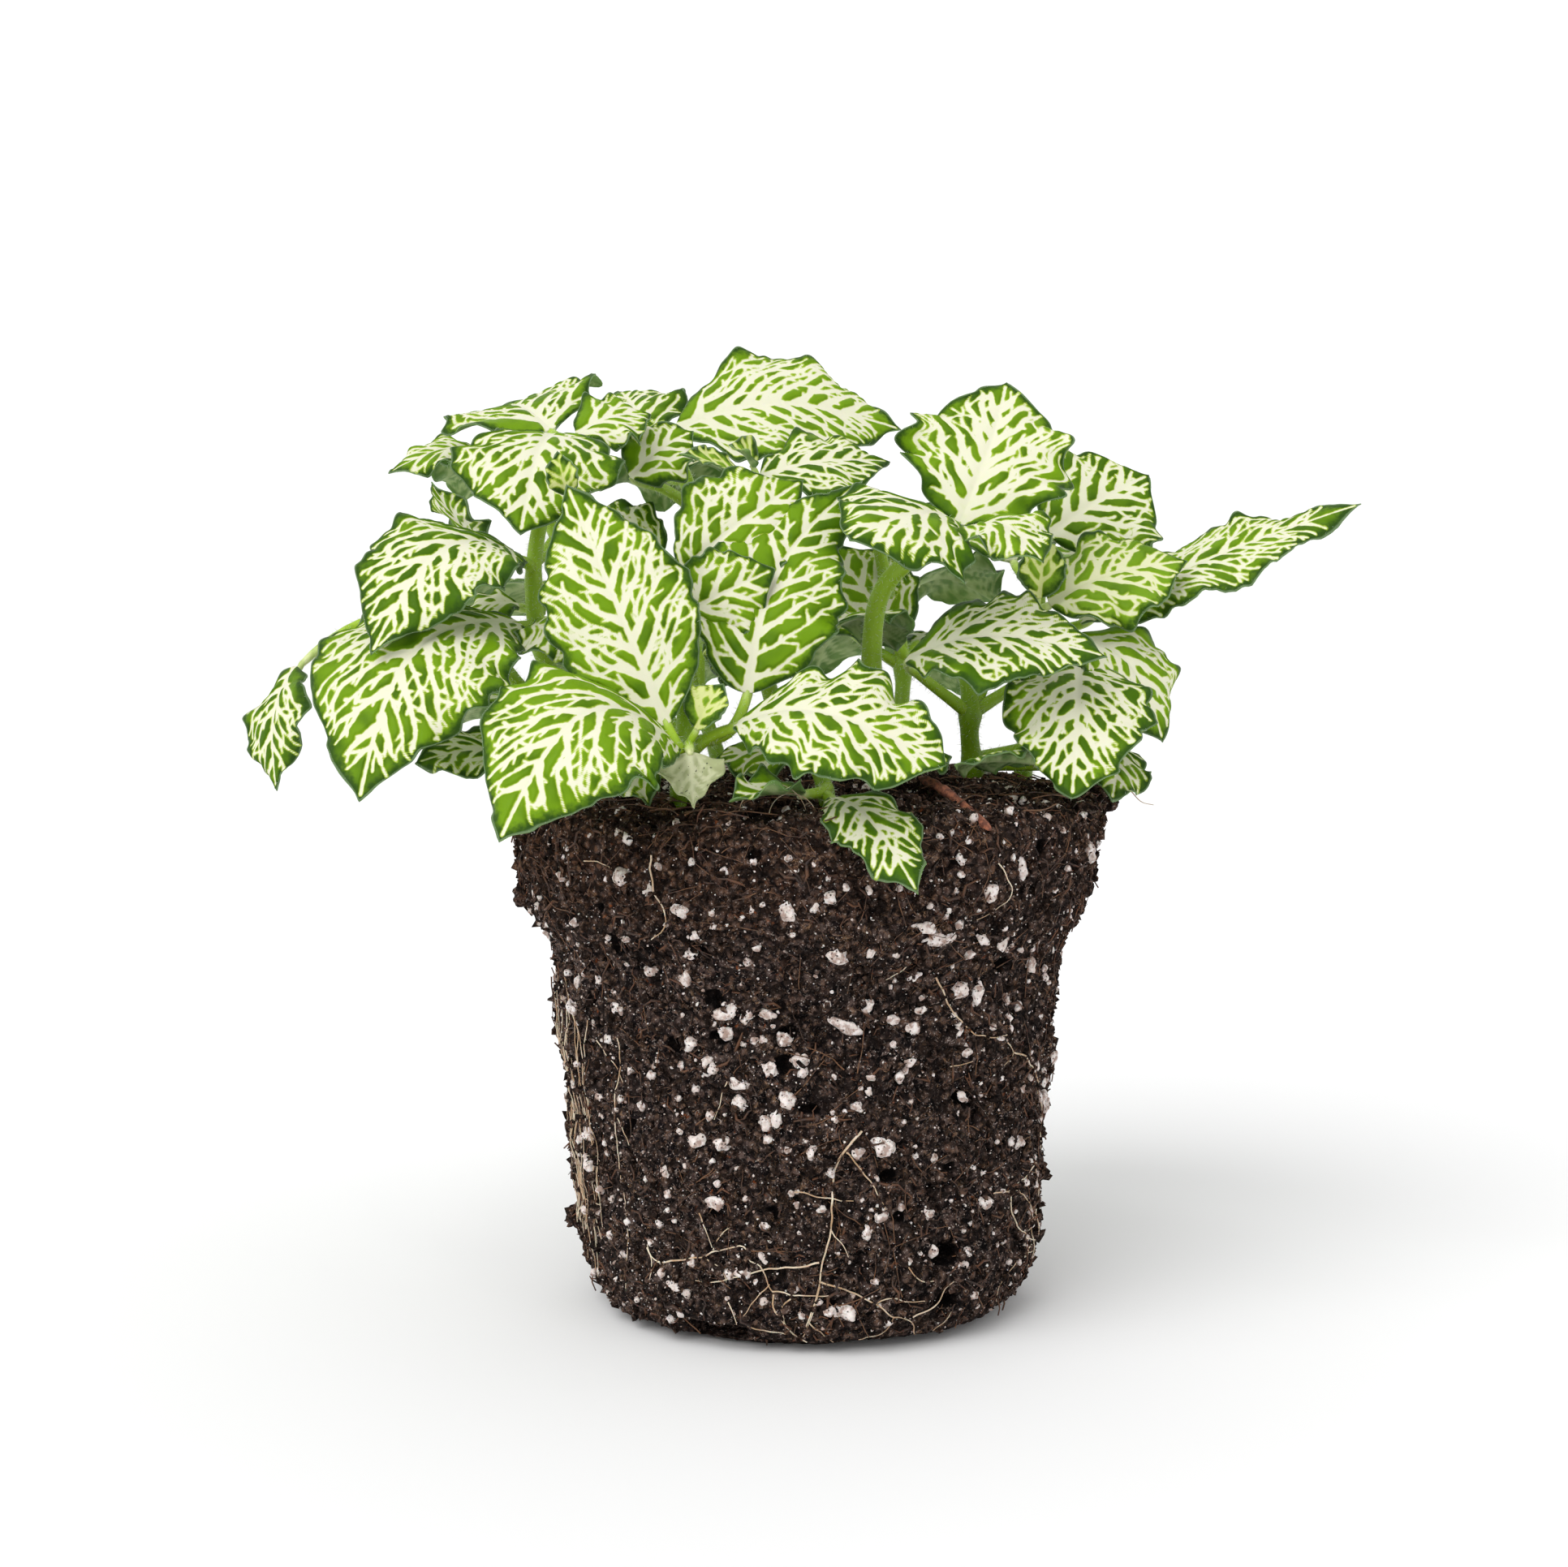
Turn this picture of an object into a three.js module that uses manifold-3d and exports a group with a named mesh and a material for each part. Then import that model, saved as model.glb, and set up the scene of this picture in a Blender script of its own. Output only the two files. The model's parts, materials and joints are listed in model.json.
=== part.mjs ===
// Nerve plant with white-veined leaves, lifted out of its nursery pot: a bare moulded root ball
// and twelve leafy shoots that stand in it. Millimetres, +Z up, front towards -Y.
import * as THREE from 'three';
import Module from 'manifold-3d';

const wasm = await Module();
wasm.setup();

// root ball
const ballSides = 32;
const collarRadius = 56;
const flatRadius = 33;
const soilRimZ = 97.5;
const soilRise = 4;
const footZ = 90;
const holeGap = 0.3;
const notchAngle = -2.01;
const grainCount = 24;

// leaves and stalks
const bladeThickness = 0.9;
const stemSides = 6;
const stalkSides = 4;
const stalkRadius = 1.15;

const leafGreen = 0x7d9f58;
const soilBrown = 0x2b2320;
const barkBrown = 0x7a4632;

// radius and height of the moulded wall, from the flat underside to the collar and the soil top
const wall = [
  [flatRadius, 0],
  [39.5, 2.4],
  [42.6, 7],
  [43.6, 13],
  [45, 30],
  [46.8, 50],
  [48.6, 70.5],
  [52.6, 76.5],
  [54.8, 86],
  [collarRadius, 94.5],
  [53.6, soilRimZ],
];

const vec = (p) => new THREE.Vector3(p[0], p[1], p[2]);

// repeatable random numbers
function seeded(seed) {
  let state = seed;
  return () => {
    state = (state + 0x6d2b79f5) | 0;
    let t = Math.imul(state ^ (state >>> 15), 1 | state);
    t = (t + Math.imul(t ^ (t >>> 7), 61 | t)) ^ t;
    return ((t ^ (t >>> 14)) >>> 0) / 4294967296;
  };
}

function toSolid(points, faces) {
  const mesh = new wasm.Mesh({
    numProp: 3,
    vertProperties: new Float32Array(points.flatMap((p) => [p.x, p.y, p.z])),
    triVerts: new Uint32Array(faces.flat()),
  });
  mesh.merge();
  return new wasm.Manifold(mesh);
}

// a closed three.js geometry, placed by a matrix
function geometrySolid(geometry, matrix) {
  const placed = geometry.clone();
  if (matrix) placed.applyMatrix4(matrix);
  const position = placed.getAttribute('position');
  const points = [];
  for (let i = 0; i < position.count; i += 1) {
    points.push(new THREE.Vector3().fromBufferAttribute(position, i));
  }
  const order = placed.index ? Array.from(placed.index.array) : points.map((p, i) => i);
  const faces = [];
  for (let i = 0; i < order.length; i += 3) faces.push([order[i], order[i + 1], order[i + 2]]);
  return toSolid(points, faces);
}

// a round stalk along a curve, thinning from one radius to the other
function stalkSolid(curve, rings, startRadius, endRadius, sides) {
  const points = [];
  const faces = [];
  const frames = curve.computeFrenetFrames(rings, false);
  for (let i = 0; i <= rings; i += 1) {
    const centre = curve.getPointAt(i / rings);
    const radius = startRadius + ((endRadius - startRadius) * i) / rings;
    for (let j = 0; j < sides; j += 1) {
      const angle = (2 * Math.PI * j) / sides;
      points.push(
        centre
          .clone()
          .addScaledVector(frames.normals[i], radius * Math.cos(angle))
          .addScaledVector(frames.binormals[i], radius * Math.sin(angle)),
      );
    }
  }
  for (let i = 0; i < rings; i += 1) {
    for (let j = 0; j < sides; j += 1) {
      const a = i * sides + j;
      const b = i * sides + ((j + 1) % sides);
      faces.push([a, b, b + sides], [a, b + sides, a + sides]);
    }
  }
  for (let j = 1; j < sides - 1; j += 1) {
    const last = rings * sides;
    faces.push([0, j + 1, j], [last, last + j, last + j + 1]);
  }
  return toSolid(points, faces);
}

// midrib, side direction and upper side of a leaf at t, from 0 at the stalk to 1 at the tip
function leafFrame(leaf, t) {
  const base = vec(leaf.base);
  const chord = vec(leaf.tip).sub(base);
  const length = chord.length();
  const along = chord.clone().normalize();
  const up = vec(leaf.face).addScaledVector(along, -vec(leaf.face).dot(along)).normalize();
  const side = along.clone().cross(up);
  const shifted = Math.PI * (t + leaf.lean * t * (1 - t));
  const rate = Math.PI * (1 + leaf.lean * (1 - 2 * t));
  const point = base
    .addScaledVector(chord, t)
    .addScaledVector(up, leaf.arch * Math.sin(shifted))
    .addScaledVector(side, leaf.bend * Math.sin(Math.PI * t));
  const tangent = along
    .multiplyScalar(length)
    .addScaledVector(up, leaf.arch * Math.cos(shifted) * rate)
    .addScaledVector(side, leaf.bend * Math.PI * Math.cos(Math.PI * t))
    .normalize();
  const normal = up.addScaledVector(tangent, -up.dot(tangent)).normalize();
  normal.applyAxisAngle(tangent, leaf.twist * (t - 0.4));
  return { point, tangent, normal, across: tangent.clone().cross(normal) };
}

// a point of the blade: v runs from -1 on one margin over the midrib at 0 to 1 on the other
function bladePoint(leaf, t, v) {
  const frame = leafFrame(leaf, t);
  const bow = Math.sin(Math.PI * (t + leaf.peak * t * (1 - t)));
  const turn = leaf.phase + (v > 0 ? 0 : 1.9);
  const scallop = 1 + 0.04 * Math.sin(2 * Math.PI * 2 * leaf.waves * t + turn);
  const half = (leaf.width / 2) * Math.max(bow, 0) ** (0.72 + 0.5 * t) * scallop;
  const size = Math.abs(v);
  const ruffle = leaf.wave * size ** 2.5 * Math.sin(2 * Math.PI * leaf.waves * t + turn);
  const bulge = 0.05 * leaf.width * size * (1 - size);
  const lift = (leaf.cup * v * v + bulge) * bow + ruffle * bow ** 0.5;
  const point = frame.point.addScaledVector(frame.across, v * half);
  return { point: point.addScaledVector(frame.normal, lift), normal: frame.normal };
}

// a thin closed blade, split alike on both faces: a fine margin round a coarser inside
function bladeSolid(leaf) {
  const steps = leaf.steps;
  const rows = leaf.width < 27 ? [-1, 0, 1] : [-1, -0.5, 0, 0.5, 1];
  const points = [];
  const station = (t, v) => {
    const { point, normal } = bladePoint(leaf, t, v);
    points.push(point.clone().addScaledVector(normal, bladeThickness / 2));
    points.push(point.clone().addScaledVector(normal, -bladeThickness / 2));
    return points.length - 2;
  };
  const first = station(0, 0);
  const last = station(1, 0);
  const grid = rows.map((v) => {
    const count = Math.abs(v) === 1 ? steps : steps / 2;
    const row = [first];
    for (let i = 1; i < count; i += 1) row.push(station(i / count, v));
    row.push(last);
    return row;
  });
  const faces = [];
  const tile = (a, b, c) => {
    if (a === b || b === c || a === c) return;
    faces.push([a, b, c], [a + 1, c + 1, b + 1]);
  };
  const margin = (fine, coarse, flip) => {
    for (let i = 0; i < steps / 2; i += 1) {
      const corners = [
        [coarse[i], fine[2 * i], fine[2 * i + 1]],
        [coarse[i], fine[2 * i + 1], coarse[i + 1]],
        [coarse[i + 1], fine[2 * i + 1], fine[2 * i + 2]],
      ];
      corners.forEach(([a, b, c]) => (flip ? tile(a, c, b) : tile(a, b, c)));
    }
  };
  const inside = (left, right) => {
    for (let i = 0; i < steps / 2; i += 1) {
      tile(left[i], right[i], right[i + 1]);
      tile(left[i], right[i + 1], left[i + 1]);
    }
  };
  const far = rows.length - 1;
  margin(grid[0], grid[1], true);
  for (let i = 1; i < far - 1; i += 1) inside(grid[i], grid[i + 1]);
  margin(grid[far], grid[far - 1], false);
  for (let i = 0; i < steps; i += 1) {
    const [a, b] = [grid[0][i], grid[0][i + 1]];
    const [c, d] = [grid[far][i], grid[far][i + 1]];
    faces.push([a, b, b + 1], [a, b + 1, a + 1], [d, c, c + 1], [d, c + 1, d + 1]);
  }
  return toSolid(points, faces);
}

// a leaf stalk that leaves the stem at one point and runs into the start of the midrib
function leafStalkSolid(leaf) {
  const start = vec(leaf.from);
  const foot = leafFrame(leaf, 0);
  const reach = start.distanceTo(foot.point);
  const behind = foot.point.clone().addScaledVector(foot.tangent, -0.45 * reach);
  const bendPoint = leaf.via ? vec(leaf.via) : start.clone().lerp(behind, 0.75);
  const inLeaf = leafFrame(leaf, 0.06).point;
  const curve = new THREE.CatmullRomCurve3([start, bendPoint, foot.point, inLeaf]);
  return stalkSolid(curve, 3, leaf.stalk * 1.1, leaf.stalk * 0.8, stalkSides);
}

// form of a blade, in millimetres and radians
const leafDefaults = {
  arch: 4, // height of the midrib's bow over its chord
  lean: 0.25, // moves the top of that bow towards the stalk
  bend: 0, // sideways bow of the midrib
  twist: 0, // turn of the blade from stalk to tip
  cup: -1, // rise of both margins
  wave: 1.3, // height of the waves along a margin
  waves: 3, // number of those waves
  phase: 0, // where the waves start
  peak: 0.14, // moves the widest place towards the stalk
};

function stepsFor(width) {
  if (width > 26) return 12;
  return width > 18 ? 10 : 8;
}

// where the stalk leaves the stem, both ends of the blade, the way its upper side faces, its width
function leaf(from, base, tip, face, width, options = {}) {
  const basics = { from, base, tip, face, width, steps: stepsFor(width), stalk: stalkRadius };
  return { ...basics, ...leafDefaults, ...options };
}

// a young leaf still folded along its midrib
function youngLeaf(from, base, tip, face, width, options = {}) {
  const folded = { arch: 1, cup: 1.6, wave: 0.3, steps: 6, stalk: 0.8 };
  return leaf(from, base, tip, face, width, { ...folded, ...options });
}

// each shoot: the stem from its foot in the soil upwards, then its leaves
const shoots = {
  shoot_front: {
    radius: 2.2,
    stem: [
      [-23, -34, footZ], [-23, -34, 101], [-22, -38, 108], [-22, -35, 118], [-23, -28, 130], [-22, -22, 139],
    ],
    leaves: [
      leaf([-22, -38, 107], [-23, -43, 110], [-52, -68, 96], [-1, -5, 5], 36, {
        arch: 14, bend: 4, cup: -3, phase: 0.6,
      }),
      leaf([-22, -38, 108], [-13, -42, 114], [23, -58, 108], [0.5, -5, 5.5], 28, {
        arch: 7, cup: -1, phase: 2,
      }),
      leaf([-22, -38, 109], [-25, -44, 114], [-43, -34, 156], [0, -9, 2], 27, {
        arch: 2, wave: 1, phase: 1,
      }),
      leaf([-22, -37, 110], [-11, -35, 119], [10, -14, 157], [-1, -9, 3], 28, {
        arch: 3, bend: -5, peak: 0.55, phase: 3,
      }),
      leaf([-23, -28, 129], [-24, -28, 132], [-6, -29, 141], [1, -9, 2], 18, { arch: 2, phase: 4 }),
      leaf([-22, -22, 137], [-23, -24, 140], [-1, -14, 157], [2, -9, 5], 24, { arch: 3, phase: 5 }),
      youngLeaf([-22, -38, 110], [-20, -42, 113], [-15, -41, 121], [-2, -8, 4], 8),
      leaf([-22, -38, 106], [-21, -43, 109], [-20, -52, 100], [0, 1, -1], 12, { arch: 1, steps: 8 }),
      leaf([-23, -34, 103], [-27, -34, 105], [-36, -39, 102], [0, -7, 7], 11, { arch: 1, steps: 8 }),
      youngLeaf([-22, -22, 137], [-43, -28, 154], [-45, -29, 162], [-2, -9, 3], 6),
    ],
  },
  shoot_left: {
    radius: 2.1,
    stem: [
      [-33, -10, footZ], [-33, -10, 101], [-42, -13, 112], [-49, -15, 125], [-51, -11, 141], [-47, 0, 164],
    ],
    leaves: [
      leaf([-50, -15, 128], [-53, -20, 131], [-78, -50, 101], [-2, -6, 6], 39, {
        arch: 11, bend: 4, cup: -2, phase: 2.4,
      }),
      leaf([-49, -15, 126], [-48, -20, 132], [-39, -33, 124], [1, -6, 6], 19, { arch: 3, phase: 1.2 }),
      leaf([-51, -12, 138], [-53, -14, 143], [-77, -41, 126], [-2, -7, 6], 29, {
        arch: 10, bend: 2, phase: 0.4,
      }),
      leaf([-50, -13, 133], [-54, -8, 134], [-65, -10, 131], [0, -4, 8], 14, { arch: 2, phase: 3.3 }),
      leaf([-47, 0, 163], [-48, -3, 166], [-52, -26, 147], [0, -6, 7], 31, { arch: 5, phase: 4.4 }),
      leaf([-47, 0, 163], [-49, 6, 167], [-62, 34, 172], [0, -6, 7], 32, {
        arch: 3, cup: 1, phase: 1.7,
      }),
      leaf([-47, 0, 163], [-44, 3, 166], [-30, 9, 170], [1, -5, 8], 18, { arch: 2, phase: 5.2 }),
    ],
  },
  shoot_left_low: {
    radius: 1.9,
    stem: [[-40, 14, footZ], [-40, 14, 101], [-49, 11, 111], [-58, 4, 121]],
    leaves: [
      leaf([-58, 4, 120], [-98, 2, 122], [-100, -8, 99], [-7, -6, 2], 20, { arch: 3, phase: 0.9 }),
      leaf([-58, 4, 120], [-61, 3, 125], [-94, 12, 127], [0, -3, 9], 20, { arch: 3, phase: 2.9 }),
      leaf([-48, 11, 109], [-53, -20, 107], [-71, -30, 106], [0, -5, 8], 16, { arch: 2, phase: 3.7 }),
      leaf([-48, 11, 109], [-53, 24, 112], [-77, 38, 104], [-3, 2, 9], 26, { arch: 6, phase: 5.5 }),
    ],
  },
  shoot_left_back: {
    radius: 2,
    stem: [[-22, 18, footZ], [-22, 18, 101], [-37, 24, 124], [-50, 27, 147], [-56, 28, 159]],
    leaves: [
      leaf([-56, 28, 158], [-62, 26, 163], [-82, 18, 159], [-1, -3.5, 9], 18, { arch: 3, phase: 1.1 }),
      leaf([-50, 27, 146], [-62, 8, 145], [-71, -2, 157], [-7, -6, 3], 18, { arch: 1, phase: 2.2 }),
      leaf([-56, 28, 158], [-58, 35, 161], [-72, 58, 154], [-1, 2, 9], 26, { arch: 5, phase: 3.1 }),
      leaf([-42, 26, 132], [-50, 37, 135], [-70, 54, 126], [-1, 2, 9], 26, { arch: 6, phase: 4.2 }),
    ],
  },
  shoot_middle_back: {
    radius: 2.1,
    stem: [[-4, 22, footZ], [-4, 22, 101], [-10, 22, 125], [-20, 22, 148], [-26, 24, 163]],
    leaves: [
      leaf([-26, 24, 162], [-26, 26, 168], [19, 32, 168], [0, -7, 7], 33, {
        arch: 6, bend: -1, phase: 0.3,
      }),
      leaf([-26, 24, 162], [-32, 38, 167], [-39, 60, 177], [0, -8, 6], 22, { arch: 2, phase: 5.8 }),
      leaf([-22, 23, 152], [-34, 7, 158], [-22, 12, 167], [1, -7, 7], 17, { arch: 2, phase: 2.6 }),
      leaf([-24, 23, 158], [-28, 34, 160], [-30, 66, 152], [0, 3, 9], 26, { arch: 6, phase: 3.9 }),
    ],
  },
  shoot_middle: {
    radius: 1.9,
    stem: [[2, 6, footZ], [2, 6, 101], [-2, 4, 125], [-8, 4, 144], [-10, 2, 155]],
    leaves: [
      leaf([-10, 2, 154], [-9, 4, 158], [16, 10, 161], [0, -5, 8], 24, { arch: 2, phase: 4.9 }),
      youngLeaf([-10, 2, 154], [-11, -2, 157], [-24, -9, 162], [0, -4, 8], 8),
      youngLeaf([-10, 2, 154], [-10, 4, 160], [-15, 1, 164], [0, -5, 7], 6),
      leaf([-2, 4, 124], [-5, -2, 128], [-16, -15, 119], [-2, -5, 7], 22, { arch: 3, phase: 1.4 }),
      leaf([-2, 4, 124], [5, 7, 130], [18, 22, 124], [2, 3, 9], 22, { arch: 4, phase: 0.2 }),
    ],
  },
  shoot_rim: {
    radius: 1.6,
    stem: [[3, -34, footZ], [3, -34, 101], [1, -33, 106], [-2, -29, 112]],
    leaves: [
      leaf([3, -34, 101], [4, -41, 101], [18, -66, 87], [1, -5, 6], 16, { arch: 4, phase: 2.1 }),
      leaf([3, -34, 102], [-1, -41, 102], [-14, -50, 101], [0, -2, 9], 10, {
        arch: 1, cup: 2.5, phase: 0.7,
      }),
      leaf([-2, -29, 111], [-1, -25, 108], [-17, -18, 106], [0, -6, 7], 15, { arch: 1, phase: 3.6 }),
    ],
  },
  shoot_right_middle: {
    radius: 2.6,
    stem: [
      [13, -2, footZ], [13, -2, 101], [13, -3, 112], [12, -6, 125], [14, -10, 137], [24, -14, 147],
    ],
    leaves: [
      leaf([24, -14, 146], [28, -10, 149], [38, 6, 176], [0, -9, 5], 33, {
        arch: 2, bend: 1, wave: 1.6, phase: 1.9,
      }),
      leaf([23, -14, 146], [26, -18, 150], [7, -38, 146], [-1, -6, 6], 30, {
        arch: 3, cup: -4, phase: 0.5,
      }),
      leaf([24, -14, 146], [30, -16, 148], [42, -30, 142], [2, -6, 8], 20, { arch: 4, phase: 3.2 }),
      leaf([13, -3, 107], [20, -14, 107], [17, -34, 104], [0, -6, 8], 14, { arch: 2, phase: 4.6 }),
    ],
  },
  shoot_right: {
    radius: 2.4,
    stem: [[32, 4, footZ], [32, 4, 101], [31, 1, 109], [31, 0, 115], [30, 2, 122]],
    leaves: [
      leaf([31, 0, 113], [18, -15, 124], [54, -26, 125], [0.5, -6, 8], 27, {
        arch: 5.5, via: [22, -6, 120], phase: 2.5,
      }),
      leaf([31, 0, 113], [51, 2, 128], [67, -6, 108], [4, -6, 7], 26, {
        arch: 5, bend: -1, phase: 1.3,
      }),
      leaf([31, 0, 113], [51, -5, 123], [47, -34, 100], [0, -7, 6], 27, { arch: 5, phase: 0.1 }),
      leaf([32, 4, 103], [43, -12, 105], [26, -33, 106], [2, 6, 5], 13, { arch: 1, phase: 5.1 }),
      leaf([32, 4, 104], [59, 4, 107], [56, -18, 98], [3, -8, 6], 14, { arch: 2, phase: 2.8 }),
    ],
  },
  shoot_right_back: {
    radius: 2.2,
    stem: [[43, 20, footZ], [43, 20, 101], [45, 20, 118], [45, 17, 132], [46, 16, 141], [47, 22, 146]],
    leaves: [
      leaf([44, 16, 131], [53, 14, 130], [107, 10, 153], [-2, -5, 8], 21, {
        arch: 2, wave: 1.6, phase: 0.8,
      }),
      leaf([44, 16, 132], [46, 2, 134], [73, 6, 142], [0, -7, 7], 24, { arch: 3, phase: 4.1 }),
      youngLeaf([44, 16, 132], [44, 0, 135], [45, 0, 147], [0, -9, 3], 9),
      leaf([47, 22, 145], [48, 24, 147], [69, 33, 159], [0, -8, 5], 31, { arch: 2, phase: 3.4 }),
      leaf([46, 19, 143], [53, 31, 143], [70, 56, 136], [1, 2, 9], 26, { arch: 4, phase: 1.6 }),
      leaf([46, 18, 142], [42, 34, 142], [36, 62, 147], [0, -1, 9], 26, { arch: 4, phase: 2.3 }),
      leaf([44, 20, 110], [49, 34, 117], [70, 50, 104], [3, 3, 8], 26, { arch: 6, phase: 5.7 }),
    ],
  },
  shoot_back_right: {
    radius: 2,
    stem: [[18, 36, footZ], [18, 36, 101], [20, 42, 120], [16, 44, 140], [14, 42, 149]],
    leaves: [
      leaf([20, 42, 121], [19, 41, 125], [5, 50, 145], [0, -9, 4], 23, { arch: 2, phase: 1.5 }),
      leaf([14, 42, 148], [12, 38, 150], [2, 22, 147], [0, -1, 9], 16, { arch: 2, phase: 3.8 }),
      leaf([20, 42, 119], [23, 50, 125], [36, 76, 111], [1, 5, 7], 26, { arch: 7, phase: 0.9 }),
      leaf([20, 42, 120], [10, 50, 127], [2, 78, 116], [-1, 5, 7], 26, { arch: 6, phase: 4.7 }),
      leaf([14, 42, 148], [15, 49, 151], [22, 73, 149], [0, -1, 9], 25, { arch: 3, phase: 2.7 }),
      leaf([17, 44, 137], [12, 50, 138], [-6, 68, 136], [-1, 4, 7], 24, { arch: 4, phase: 5 }),
      leaf([17, 44, 137], [22, 50, 137], [42, 66, 132], [1, 4, 7], 23, { arch: 4, phase: 0.6 }),
    ],
  },
  shoot_back_left: {
    radius: 2,
    stem: [[-18, 38, footZ], [-18, 38, 101], [-24, 44, 120], [-24, 48, 137]],
    leaves: [
      leaf([-22, 42, 112], [-33, 50, 120], [-56, 66, 105], [-2, 5, 7], 26, { arch: 7, phase: 3.5 }),
      leaf([-22, 42, 113], [-22, 54, 126], [-23, 82, 113], [0, 5, 7], 25, { arch: 6, phase: 1.8 }),
      leaf([-24, 48, 136], [-30, 47, 142], [-50, 58, 148], [-1, -7, 6], 25, { arch: 3, phase: 0.4 }),
      leaf([-24, 48, 136], [-20, 54, 143], [-6, 72, 151], [0, -1, 9], 24, { arch: 3, phase: 5.3 }),
      leaf([-24, 46, 126], [-30, 52, 129], [-50, 70, 126], [-1, 4, 7], 23, { arch: 4, phase: 2 }),
    ],
  },
};

function shootSolid({ radius, stem, leaves }) {
  const [x, y] = stem[0];
  const line = [vec(stem[0]), new THREE.Vector3(x, y, footZ + 6), ...stem.slice(1).map(vec)];
  const path = new THREE.CatmullRomCurve3(line, false, 'centripetal');
  const rings = stem.length + 3;
  const parts = [stalkSolid(path, rings, radius, radius * 0.65, stemSides)];
  leaves.forEach((entry) => parts.push(bladeSolid(entry), leafStalkSolid(entry)));
  return parts.reduce((whole, part) => whole.add(part));
}

// soft unevenness of the peat, in millimetres
function peatRelief(angle, height) {
  const broad = 0.5 * Math.sin(3 * angle + 0.09 * height) * Math.sin(0.13 * height + 2 * angle);
  return broad + 0.35 * Math.sin(11 * angle - 0.31 * height) * Math.cos(0.42 * height + 5 * angle);
}

function wallPoint(angle, height, outwards = 0) {
  let i = 1;
  while (i < wall.length - 2 && wall[i + 1][1] < height) i += 1;
  const [r0, z0] = wall[i];
  const [r1, z1] = wall[i + 1];
  const smooth = r0 + ((r1 - r0) * (height - z0)) / (z1 - z0);
  const radius = smooth + peatRelief(angle, height) + outwards;
  return new THREE.Vector3(radius * Math.cos(angle), radius * Math.sin(angle), height);
}

function soilTopZ(x, y) {
  const away = Math.min(Math.hypot(x, y) / 52, 1);
  return soilRimZ + soilRise * (1 - away * away) + 0.5 * Math.sin(0.31 * x + 1) * Math.cos(0.27 * y);
}

function ballBody() {
  const points = [new THREE.Vector3(0, 0, 0)];
  const rings = [];
  const ring = (place) => {
    rings.push(points.length);
    for (let j = 0; j < ballSides; j += 1) points.push(place((2 * Math.PI * j) / ballSides));
  };
  ring((angle) => new THREE.Vector3(flatRadius * Math.cos(angle), flatRadius * Math.sin(angle), 0));
  wall.slice(1, -1).forEach(([radius, height]) => {
    ring((angle) => {
      const wide = radius + peatRelief(angle, height);
      return new THREE.Vector3(wide * Math.cos(angle), wide * Math.sin(angle), height);
    });
  });
  [wall[wall.length - 1][0], 40, 22].forEach((radius) => {
    ring((angle) => {
      const [x, y] = [radius * Math.cos(angle), radius * Math.sin(angle)];
      return new THREE.Vector3(x, y, soilTopZ(x, y));
    });
  });
  points.push(new THREE.Vector3(0, 0, soilTopZ(0, 0)));
  const faces = [];
  for (let j = 0; j < ballSides; j += 1) {
    const next = (j + 1) % ballSides;
    faces.push([0, rings[0] + next, rings[0] + j]);
    for (let i = 0; i < rings.length - 1; i += 1) {
      const [low, high] = [rings[i], rings[i + 1]];
      faces.push([low + j, low + next, high + next], [low + j, high + next, high + j]);
    }
    faces.push([rings[rings.length - 1] + j, rings[rings.length - 1] + next, points.length - 1]);
  }
  return toSolid(points, faces);
}

// white grains and crumbs half sunk in the wall and in the top edge
function grainSolids() {
  const random = seeded(41);
  const solids = [];
  for (let i = 0; i < grainCount; i += 1) {
    const height = 6 + 88 * random();
    const angle = 2 * Math.PI * ((i * 0.618034) % 1);
    const size = 1.3 + 1.3 * random() ** 2;
    const centre = wallPoint(angle, height, -0.35 * size);
    const turn = new THREE.Quaternion().setFromEuler(new THREE.Euler(6 * random(), 6 * random(), 0));
    const scale = new THREE.Vector3(size, size * 0.85, size * (1 + 0.5 * random()));
    const matrix = new THREE.Matrix4().compose(centre, turn, scale);
    solids.push(geometrySolid(new THREE.IcosahedronGeometry(1, 0), matrix));
  }
  const clump = [[57, 9, 96.5, 3.4], [60.5, 8, 99, 2.6], [-53.6, -6, 79, 2.2], [-45, 6, 14, 2.2]];
  clump.forEach(([x, y, z, size]) => {
    const matrix = new THREE.Matrix4().makeScale(size, size, size).setPosition(x, y, z);
    solids.push(geometrySolid(new THREE.IcosahedronGeometry(1, 0), matrix));
  });
  return solids;
}

// roots that run over the wall: angle and height where each starts and ends
const rootRuns = [
  [-1.75, 20, -0.95, 9],
  [-1.42, 36, -1.62, 5],
  [-0.62, 52, -0.18, 56],
  [-0.5, 30, -0.3, 12],
  [3.1, 40, 2.95, 8],
  [-2.7, 58, -2.95, 24],
  [1.3, 30, 1.8, 8],
  [0.8, 44, 0.6, 16],
];

function rootSolids() {
  return rootRuns.map(([startAngle, startZ, endAngle, endZ], index) => {
    const line = [];
    for (let i = 0; i <= 5; i += 1) {
      const t = i / 5;
      const angle = startAngle + (endAngle - startAngle) * t + 0.035 * Math.sin(5 * t + index);
      const height = startZ + (endZ - startZ) * t + 1.6 * Math.sin(6 * t + 2 * index);
      line.push(wallPoint(angle, height, 0.25));
    }
    return stalkSolid(new THREE.CatmullRomCurve3(line), 5, 0.9, 0.7, 3);
  });
}

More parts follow.
